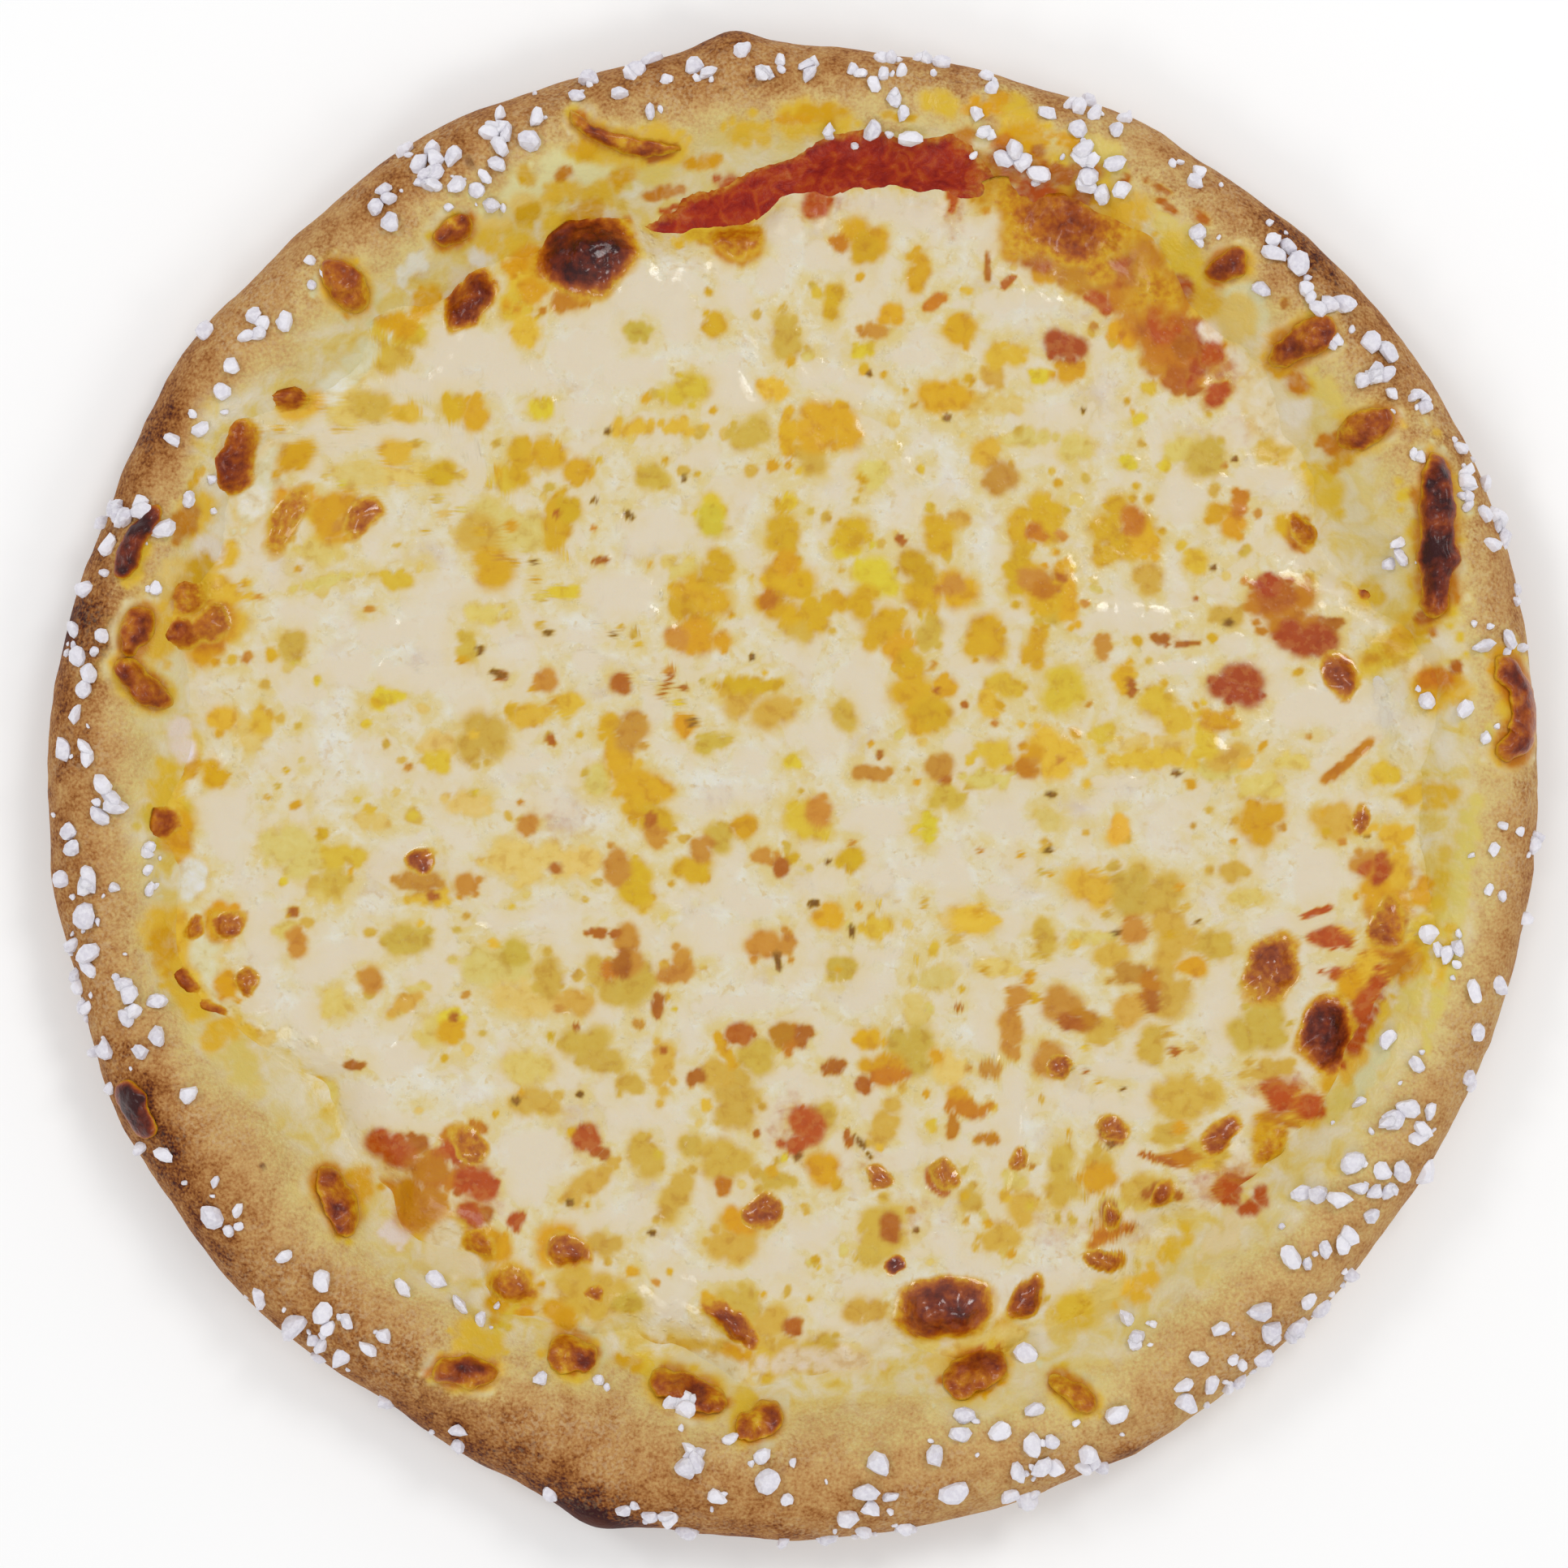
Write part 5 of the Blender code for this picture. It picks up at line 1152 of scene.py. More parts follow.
# %% Finish of the sauce
WET_TOMATO = (
    (0.32, (0.25, 0.02, 0.006)), (0.5, (0.37, 0.036, 0.006)), (0.64, (0.45, 0.075, 0.012)),
    (0.78, (0.52, 0.15, 0.05)),
)
DRIED_TOMATO = ((0.36, (0.41, 0.075, 0.01)), (0.5, (0.5, 0.155, 0.018)), (0.64, (0.6, 0.29, 0.05)))
sauce_look, tree, shader = new_look("cooked_tomato")
pulp = ramp(tree, grain(tree, 2.6, 4, 0.7), WET_TOMATO)
dried = ramp(tree, grain(tree, 1.8, 4, 0.5), DRIED_TOMATO)
dry = ragged(tree, read(tree, "thin"), 0.8, 0.3)
feed(tree, shader, {
    "Base Color": mixed(tree, dry, pulp, dried), "Roughness": 0.34, "Specular IOR Level": 0.2,
    "Normal": bumps(tree, use(tree, oil_tree, {"Wrinkles": 1.0}), 0.6, 0.5),
    **translucent(0.1, (1.0, 0.3, 0.2), 1.0),
})
add_piece("tomato_sauce", sauce_points, sauce_faces, sauce_layers, sauce_look, ["sauce"])

# %% [markdown]
# ## The melted cheese
# Shredded cheese melts into one sheet with smooth creamy pools, half-clear wet curd, golden patches and
# a few blisters that rose and browned. A square net bent into the disc keeps its cells even all over,
# which a polar grid can't. Its height is a level with low mounds; blisters are domes on it; and towards
# its edge it thins out to nothing on the slope of the rim.

# %% Blisters
# (angle, radius, length along the rim, width, lean in degrees, height, how dark)
BLISTERS = (
    (111, 98.1, 18.5, 15, -8, 3.8, 1), (123.5, 99.8, 12, 8, 20, 2.6, 0.72),
    (149.1, 110, 13.5, 6.4, 10, 2.4, 0.7), (142, 108, 6, 5, 0, 1.6, 0.55), (163.9, 103, 6.6, 6, 0, 1.6, 0.46),
    (165.6, 107, 6.6, 6, 0, 1.8, 0.6), (162, 108, 6.4, 5.4, 0, 1.5, 0.36), (192.5, 111.4, 7, 5, 0, 2, 0.6),
    (200.7, 106.2, 6, 3.4, 55, 1.6, 0.55), (197.2, 109, 7, 3.4, 40, 1.6, 0.62), (193, 104, 4, 3, 0, 1.1, 0.45),
    (193, 98.5, 6, 4, 90, 1.2, 0.45), (199, 98.5, 5, 4, 0, 1.2, 0.42), (183, 107.5, 6, 6, 0, 1.8, 0.55),
    (240.6, 96.4, 8, 6, 0, 2, 0.48), (244, 86.6, 8, 5.4, 0, 1.8, 0.5), (248.5, 91.5, 3, 3, 0, 0.9, 0.45),
    (263.5, 91, 12, 5, -35, 2, 0.6), (286.3, 91.3, 17, 11, -6, 3.2, 0.86), (294.6, 94.6, 9, 5, 35, 2, 0.74),
    (303.5, 95.5, 9, 4, -40, 1.6, 0.48), (312.5, 93, 6, 4.4, 0, 1.5, 0.5), (321, 93, 9, 5, 0, 1.6, 0.48),
    (323.5, 101.5, 8, 5, 0, 1.4, 0.25), (335.4, 99.6, 14, 9, 12, 2.8, 0.86),
    (339.8, 86.6, 12.5, 9.5, -8, 2.8, 0.5), (347.5, 103.5, 9, 6, 0, 1.4, 0.4), (12.2, 95.5, 9, 6, 0, 2, 0.55),
    (27, 97, 7, 4, 0, 1.4, 0.36), (64.6, 106.4, 12, 11, 0, 2.4, 0.5), (152, 97.5, 14, 5, 0, 1.4, 0.24),
    (147.4, 86.6, 8, 4.8, 0, 1.5, 0.42), (190.3, 64.4, 4.6, 4.6, 0, 1.2, 0.6), (266, 71.6, 6, 6, 0, 1.4, 0.5),
    (235.5, 93.5, 6, 5, 0, 1.2, 0.32), (227.5, 81.4, 8, 5, 0, 1.2, 0.32), (306.9, 90, 4, 5, 0, 1.2, 0.42),
    (313.5, 79, 5, 5, 0, 1.2, 0.42), (282.6, 82.5, 3, 3, 0, 0.9, 0.7), (291.8, 70, 5, 5, 0, 1, 0.36),
    (96, 94, 9, 7, 0, 1.6, 0.34), (302, 74, 4, 4, 0, 0.9, 0.34), (19, 103.6, 3.4, 3.4, 0, 0.9, 0.5),
    (283, 67, 4, 4, 0, 0.9, 0.4), (314, 66, 4, 4, 0, 0.9, 0.42), (357.5, 97, 5, 3.6, 0, 1, 0.42),
)
# (x, y, size in x, size in y, strength) of glossy brown-orange masses of cheese cooked with sauce
SCORCHED = (
    (46, 96, 14, 11, 0.56), (37, 101, 12, 8, 0.3), (54, 95, 10, 9, 0.32), (51, 88, 8, 6, 0.3),
    (61, 85, 8, 7, 0.26),
)
# (x, y, size in x, size in y, strength) of soft tints: sauce seen through thin cheese
SHOW_THROUGH = (
    (97, -38, 5, 17, 1), (84, -51, 13, 5, 0.9), (75, -67.5, 12, 7, 1), (101, -13, 6, 7, 0.8),
    (103, -23, 6, 9, 0.8), (56, -75, 8, 4, 0.8), (64, 80, 10, 9, 1), (65, 86, 5, 8, 0.8), (4, 100, 8, 6, 0.7),
    (-54, -66, 8, 8, 0.8), (-56, -73, 4, 7, 0.9), (-66, -63, 10, 8, 0.6), (0, -58, 9, 9, 0.55),
    (-37, -57, 6, 11, 0.4), (72, 72, 7, 9, 0.9), (78, 63, 6, 6, 0.6), (-70, -70, 8, 8, 0.6),
    (12, -62, 7, 9, 0.4), (20, -73, 9, 8, 0.4), (46, -73, 9, 9, 0.35), (-40, -5, 9, 8, 0.3),
    (98, 9, 6, 3, 0.35), (66, 26, 9, 3, 0.3), (27, 98, 4, 9, 0.7), (40, 93, 8, 7, 0.8), (52, 88, 8, 6, 0.8),
)
CHEESE_CELLS = 290


def bent(x, y, seed, far, size):
    """The place moved a little by noise, so that ellipses read from it get natural outlines."""
    return x + far * rough(x, y, 0, size, seed), y + far * rough(x, y, 0, size, seed + 5)


def ellipse_of(x, y, angle, radius, length, width, lean):
    """1 at the middle of a leaning ellipse, 0 on its outline and below 0 outside."""
    cx, cy = place(angle, radius)
    turn = math.radians(angle + 90 + lean)
    along = (x - cx) * math.cos(turn) + (y - cy) * math.sin(turn)
    across = (y - cy) * math.cos(turn) - (x - cx) * math.sin(turn)
    return 1 - (along / (length / 2)) ** 2 - (across / (width / 2)) ** 2


def blisters(x, y):
    """Height of the domes (1 - d^2)^1.5 and how far they are browned."""
    bx, by = bent(x, y, 301, 0.9, 4.0)
    rise, brown = np.zeros_like(x), np.zeros_like(x)
    uneven = 1 + 0.28 * rough(x, y, 0, 4.0, 311, 2)
    for angle, radius, length, width, lean, height, dark in BLISTERS:
        near = ellipse_of(bx, by, angle, radius, length, width, lean)
        rise = rise + height * np.clip(near, 0, 1) ** 1.5
        rim = (0.15 + 0.72 * dark * smooth((near + 0.1) / 0.85) * uneven) * smooth((near + 0.5) / 0.45)
        brown = np.maximum(brown, rim)
    return rise, brown


def mounds(x, y):
    """The uneven melt: the same seeded low mounds and hollows as in the solid."""
    draw = random.Random(5)
    rise = np.zeros_like(x)
    for _ in range(90):
        cx, cy = place(draw.uniform(0, 360), 98 * math.sqrt(draw.random()))
        width = draw.uniform(7, 15)
        height = draw.uniform(-0.7, 1.1)
        rise = rise + height * np.exp(-((x - cx) ** 2 + (y - cy) ** 2) / width**2)
    return rise


def melt_height(x, y, edge):
    """Top of the cheese: a level with mounds and a thin skin on the slope, joined by a rounded maximum.

    Where the dough at the edge lies lower than the level, the level sinks to it over the last 11 mm.
    """
    angle, radius = polar(x, y)
    inwards = edge - radius
    above = np.maximum(CHEESE_LEVEL + 0.8 - dough_top(*place(angle, edge)), 0)
    level = CHEESE_LEVEL + mounds(x, y) * smooth(inwards / 8) - above * smooth(1 - inwards / 11)
    over_sauce = within(angle, GAP_START + 2, GAP_END - 2, 5)
    bed = dough_skin(x, y) + np.maximum(SAUCE_SPACE * smooth((inwards - 1) / 8), 0.95 * over_sauce)
    skin = bed - 0.15 + 0.9 * smooth(inwards / 8)
    rounding = np.sqrt((level - skin) ** 2 + (1.6 * smooth(inwards / 7)) ** 2)
    return (level + skin + rounding) / 2 - 0.35 * smooth(1 - inwards / 5)


def soft_spots(x, y, table, seed):
    """The highest strength * bell at each corner over ellipses along the axes, bent by noise."""
    bx, by = bent(x, y, seed, 2.0, 7.0)
    total = np.zeros_like(x)
    for cx, cy, width, height, strength in table:
        away = ((bx - cx) / (width / 2)) ** 2 + ((by - cy) / (height / 2)) ** 2
        total = np.maximum(total, strength * np.exp(-math.log(2) * away))
    return total


def disc_net(cells):
    """The concentric map of a square net -1..1 to angle and reach from 0 at the middle to 1 at the edge."""
    side = np.linspace(-1, 1, cells + 1)
    a, b = np.meshgrid(side, side, indexing="ij")
    reach = np.maximum(np.abs(a), np.abs(b))
    east = 45 * b / np.where(np.abs(a) >= np.abs(b), np.where(a == 0, 1, a), 1) + np.where(a > 0, 0, 180)
    north = 90 - 45 * a / np.where(np.abs(b) > np.abs(a), b, 1) + np.where(b > 0, 0, 180)
    angle = np.where(np.abs(a) >= np.abs(b), east, north) % 360
    return angle, reach


def on_cheese(size, seed, layers):
    """Noise at the corners of the cheese."""
    return rough(cheese_x, cheese_y, 0, size, seed, layers)


net_angle, net_reach = disc_net(CHEESE_CELLS)
net_edge = melt_edge(net_angle)
cheese_x, cheese_y = (v.ravel() for v in place(net_angle, net_reach * net_edge))
edge_here = melt_edge(polar(cheese_x, cheese_y)[0])
inwards = edge_here - np.hypot(cheese_x, cheese_y)
domes, browned = blisters(cheese_x, cheese_y)
scorched = soft_spots(cheese_x, cheese_y, SCORCHED, 531) * (1 + 0.4 * on_cheese(3.4, 541, 3))
browned = np.maximum(browned, scorched)
own_patches = {name: specks.get(name, []) + cheese_patches.get(name, []) for name in COLOURS}
patch, patch_stain, haze = painted(cheese_x, cheese_y, own_patches, 7)
outer, outer_stain, outer_haze = painted(cheese_x, cheese_y, rim_patches, 211)
patch_stain += (outer_stain - patch_stain) * cover(outer)
patch, haze = np.maximum(patch, outer), np.maximum(haze, outer_haze)
pools, _, _ = painted(cheese_x, cheese_y, with_turn({"cream": CREAM_POOLS}), 19)
fine = 0.2 * on_cheese(5.5, 401, 3) + 0.1 * on_cheese(1.9, 409, 2)
cheese_z = melt_height(cheese_x, cheese_y, edge_here)
cheese_z += domes * smooth((inwards + 1.5) / 3) + fine * smooth(inwards / 3)
cheese_z += (0.12 * smooth((patch - 0.35) / 0.3) + 0.22 * smooth((pools - 0.3) / 0.45)) * smooth(inwards / 4)
cheese_z += 0.36 * smooth((browned - 0.2) / 0.2) * on_cheese(2.4, 431, 2) * smooth(inwards / 3)
cheese_z += 0.42 * smooth(domes) * on_cheese(2.4, 421, 2)
print("cheese from", round(float(cheese_z.min()), 1), "to", round(float(cheese_z.max()), 1), "mm high")

# %% [markdown]
# The net's border is drawn down below and closed, so that the cheese is a body and not a sheet. The
# border's corners are taken in order round the square: along one side, up the next, and back.

# %% The cheese's skin


def border_of(cells):
    """Numbers of the net's outer corners, counter-clockwise."""
    number = np.arange((cells + 1) ** 2).reshape(cells + 1, cells + 1)
    return np.concatenate([number[:-1, 0], number[-1, :-1], number[:0:-1, -1], number[0, :0:-1]])


def net_faces(cells):
    number = np.arange((cells + 1) ** 2).reshape(cells + 1, cells + 1)
    corners = [number[:-1, :-1], number[1:, :-1], number[1:, 1:], number[:-1, 1:]]
    return np.stack([c.ravel() for c in corners], 1).tolist()


border = border_of(CHEESE_CELLS)
net_count = (CHEESE_CELLS + 1) ** 2
faces = net_faces(CHEESE_CELLS)
shares = np.array([[0.97], [0.8], [0.4]])
under_x, under_y = cheese_x[border] * shares, cheese_y[border] * shares
under_z = dough_top(under_x, under_y) + np.array([[-1.2], [0.7], [1.1]])
strip = np.concatenate([border, net_count + np.arange(3 * len(border))]).reshape(4, -1)
beside = np.roll(strip, -1, 1)
faces += np.stack([beside[:-1], strip[:-1], strip[1:], beside[1:]], -1).reshape(-1, 4).tolist()
middle = net_count + 3 * len(border)
faces += np.stack([beside[3], strip[3], np.full(len(border), middle)], 1).tolist()
top = np.stack([cheese_x, cheese_y, cheese_z], 1)
below = np.stack([under_x.ravel(), under_y.ravel(), under_z.ravel()], 1)
cheese_points = np.concatenate([top, below, [(0, 0, FLOOR_HEIGHT + 1.2)]])
hidden = len(cheese_points) - net_count


def with_hidden(values):
    """The attribute of the whole skin: zero on what lies below."""
    return np.concatenate([values, np.zeros((hidden, *values.shape[1:]))])


lilac_places = [(*row, LILAC_STRENGTH) for row in LILAC_PLACES]
cheese_layers = {
    "patch": with_hidden(patch),
    "stain": with_hidden(patch_stain),
    "haze": with_hidden(haze),
    "pool": with_hidden(pools),
    "lilac": with_hidden(soft_spots(cheese_x, cheese_y, lilac_places, 521)),
    "brown": with_hidden(browned),
    "blush": with_hidden(soft_spots(cheese_x, cheese_y, SHOW_THROUGH, 501)),
    "rim": with_hidden(1 - smooth(inwards / 7)),
    "slope": with_hidden(1 - smooth((inwards - 1) / 15)),
}
print("corners:", len(cheese_points))

# %% [markdown]
# The finish is built in layers, in the order in which they lie: creamy pools over wet curd, then the
# soft red of sauce seen through thin cheese, then golden patches, and the browned blisters on top.

# %% Finish of the cheese
HALF_CLEAR = (
    (0.3, (0.765, 0.745, 0.65)), (0.43, (0.75, 0.7, 0.56)), (0.56, (0.735, 0.66, 0.47)),
    (0.7, (0.71, 0.59, 0.31)),
)
# white, warm and pink spots in the curd: size, detail and warp of the noise, soft step, share, colour
CURD_SPOTS = (
    (2.2, 3.0, 0.6, 0.54, 0.68, 0.55, (0.775, 0.75, 0.64)),
    (1.5, 4.0, 0.4, 0.55, 0.7, 0.6, (0.66, 0.47, 0.19)),
    (6.0, 4.0, 0.4, 0.52, 0.68, 0.45, (0.68, 0.56, 0.43)),
)
MOTTLE = ((0.32, (0.9, 0.8, 0.65)), (0.46, (1.0, 1.0, 1.0)), (0.72, (1.04, 1.1, 1.4)))
BEAD_SIZE = 1.15      # millimetres
cheese_look, tree, shader = new_look("melted_cheese")
curd = ramp(tree, grain(tree, 5, 4, 0.5), HALF_CLEAR)
for size, detail, warp, low, high, share, tint in CURD_SPOTS:
    curd = mixed(tree, step(tree, grain(tree, size, detail, warp), low, high, 0.0, share), curd, tint)
grey = ragged(tree, read(tree, "lilac"), 0.8, 0.45)
curd = mixed(tree, times(tree, grey, 0.75), curd, (0.62, 0.49, 0.39))
pool = ragged(tree, read(tree, "pool"), 0.25, 0.3)
drift = step(tree, grain(tree, 8, 3, 0.6), 0.48, 0.6)
creamy = larger(tree, pool, times(tree, drift, 0.8))
colour = mixed(tree, creamy, curd, (0.73, 0.636, 0.475))
seeping = times(
    tree, step(tree, grain(tree, 3, 3, 0.5), 0.32, 0.62, 0.3, 1.0),
    step(tree, read(tree, "haze"), 0.2, 0.9, 0.0, 0.85), step(tree, creamy, 0.0, 1.0, 1.0, 0.35),
)
colour = mixed(tree, seeping, colour, (0.71, 0.555, 0.2))
near_rim = ragged(tree, read(tree, "rim"), 0.8, 0.4)
colour = mixed(tree, near_rim, colour, use(tree, melt_tree, {"Warmth": MELT_WARMTH}))
blush = ragged(tree, read(tree, "blush"), 0.7, 0.4)
speckled = step(tree, grain(tree, 2.4, 4, 0.5), 0.4, 0.62)
reds = mixed(tree, speckled, (0.47, 0.105, 0.018), (0.62, 0.38, 0.17))
colour = mixed(tree, times(tree, blush, 0.75), colour, reds)

stain = read(tree, "stain", "Color")
gold = ragged(tree, plus(tree, read(tree, "patch"), 0.06), 0.3, 0.36)
mottled = ramp(tree, grain(tree, 2.4, 3, 0.3), MOTTLE, plain=True)
shade = mixed(tree, 1.0, stain, mottled, "MULTIPLY")
green = put(tree, "ShaderNodeSeparateColor", {"Color": stain}).outputs["Green"]
only_on_reds = step(tree, green, 0.06, 0.16, 0.32, 0.0)
flecks = times(tree, only_on_reds, step(tree, grain(tree, 1.6, 3), 0.46, 0.62))
shade = mixed(tree, flecks, shade, (0.58, 0.24, 0.06))
colour = mixed(tree, gold, colour, shade)
brown = read(tree, "brown")
cooked = step(tree, brown, 0.04, 0.24)
colour = mixed(tree, cooked, colour, use(tree, brown_tree, {"Bake": brown}))

smoothest = larger(tree, creamy, times(tree, gold, 0.6))
roughness = plus(tree, step(tree, smoothest, 0.0, 1.0, 0.2, 0.38), times(tree, near_rim, 0.12))
rippled = larger(tree, minus(tree, 1.0, times(tree, smoothest, 0.75)), times(tree, cooked, 0.7))
cells = {"Vector": object_place(tree), "Scale": 1 / (BEAD_SIZE * MM)}
beads = step(tree, put(tree, "ShaderNodeTexVoronoi", cells).outputs["Distance"], 0.02, 0.5, 1.0, 0.0)
beads = times(tree, beads, step(tree, grain(tree, 2.6, 3, 0.5), 0.45, 0.6))
relief = times(tree, use(tree, oil_tree, {"Wrinkles": 0.6}), rippled)
relief = plus(tree, relief, times(tree, beads, times(tree, rippled, 0.62)))
film_of_fat = times(tree, rippled, step(tree, read(tree, "slope"), 0.0, 1.0, 0.85, 0.05))
feed(tree, shader, {
    "Base Color": colour, "Roughness": roughness, "Specular IOR Level": 0.22,
    "Coat Weight": film_of_fat, "Coat Roughness": 0.09, "Normal": bumps(tree, relief, 0.6, 0.5),
    **translucent(0.1, (1.0, 0.7, 0.35), 1.0),
})
add_piece("melted_cheese", cheese_points, faces, cheese_layers, cheese_look, ["cheese"])

# %% [markdown]
# ## Stray browned cheese on the rim
# Shreds that fell on the bare dough puffed up and browned, darkest on top, with an orange skirt where
# the fat ran out. Each is a ball drawn out along a short path and pressed on the dough; its section
# keeps its width for most of its length, by (1 - |t|^3)^(1/2), and noise makes it lumpy.

# %% The drops
PATH_STEPS = 40
PATH_ROUNDING = 6       # how often the path is evened out


def along_path(path, reach):
    """Points (x, y) and headings at the given shares of a smooth line through the places."""
    points = np.array([place(a, r) for a, r in path])
    steps = np.hypot(*np.diff(points, axis=0).T)
    chord = np.concatenate([[0], np.cumsum(steps)])
    at = np.linspace(0, chord[-1], PATH_STEPS + 1)
    line = np.stack([np.interp(at, chord, points[:, axis]) for axis in (0, 1)], 1)
    for _ in range(PATH_ROUNDING):
        line[1:-1] = (line[:-2] + 2 * line[1:-1] + line[2:]) / 4
    heading = np.gradient(line, axis=0)
    heading /= np.hypot(heading[:, 0], heading[:, 1])[:, None]
    where = np.clip(reach * PATH_STEPS, 0, PATH_STEPS)
    x, y, hx, hy = (np.interp(where, np.arange(PATH_STEPS + 1), column) for column in (*line.T, *heading.T))
    beyond = (reach - np.clip(reach, 0, 1)) * chord[-1]
    return x + hx * beyond, y + hy * beyond, hx, hy


def puffed(path, width, height, seed, rows=46, columns=44):
    """Rings of one puffed drop, and how far up its dome each corner is."""
    points = np.array([place(a, r) for a, r in path])
    length = float(np.hypot(*np.diff(points, axis=0).T).sum())
    t = np.cos(np.linspace(math.pi, 0, rows + 2))[1:-1, None]
    turn = np.linspace(0, 2 * math.pi, columns, endpoint=False)[None, :]
    size = np.sqrt(1 - np.abs(t) ** 3)
    reach = 0.5 + t * (length + width) / 2 / length + 0 * turn
    mid_x, mid_y, head_x, head_y = along_path(path, reach)
    wide = 1 + 0.17 * rough(mid_x, mid_y, 0, 3.0, seed, 2)
    across = np.cos(turn) * size * width / 2 * wide
    x, y = mid_x - head_y * across, mid_y + head_x * across
    x, y = bent(x, y, seed + 3, 0.36, 2.6)
    up = np.sin(turn) * size
    lumps = 1 + 0.36 * rough(x, y, 0, 2.4, seed + 7, 2)
    lift = np.where(up > 0, up**0.85 * height * lumps, up * 0.5)
    return np.stack([x, y, dough_skin(x, y) + 0.1 + lift], -1), np.clip(up, 0, 1) + 0 * x


drop_look, tree, shader = new_look("browned_cheese")
feed(tree, shader, {
    "Base Color": use(tree, brown_tree, {"Bake": read(tree, "brown")}), "Roughness": 0.36,
    "Specular IOR Level": 0.2, "Coat Weight": 0.2, "Coat Roughness": 0.15,
    "Normal": bumps(tree, use(tree, oil_tree, {"Wrinkles": 1.0}), 0.6, 0.6),
})

for number, (name, path, width, height, char) in enumerate(DROPS):
    drop, dome = puffed(path, width, height, 600 + 11 * number)
    seen = rough(drop[..., 0], drop[..., 1], 0, 3.2, 700 + number, 3)
    brown = 0.16 + (0.2 + 0.42 * char) * smooth(dome * 1.15) + 0.26 * seen * dome + 0.12 * max(char - 1, 0)
    points, drop_faces = closed_skin(drop, drop[0].mean(0), drop[-1].mean(0))
    layers = {"brown": around(brown, brown[0].mean(), brown[-1].mean())}
    add_piece(name + "_skin", points, drop_faces, layers, drop_look, [name])

# %% [markdown]
# ## Coarse salt
# Pretzel salt is crushed crystal, so a grain has flat facets and blunt corners. One rough ball of
# eighty faces is cut back by planes: along a direction d, a plane at distance h with normal n lets
# the surface come out to h / (d . n), and the nearest plane wins. All grains are made at once, as one
# array with an axis for the grain, and lie where the solid's grains are fused to the dough.

# %% Where the grains lie
SALT_SEED = 11
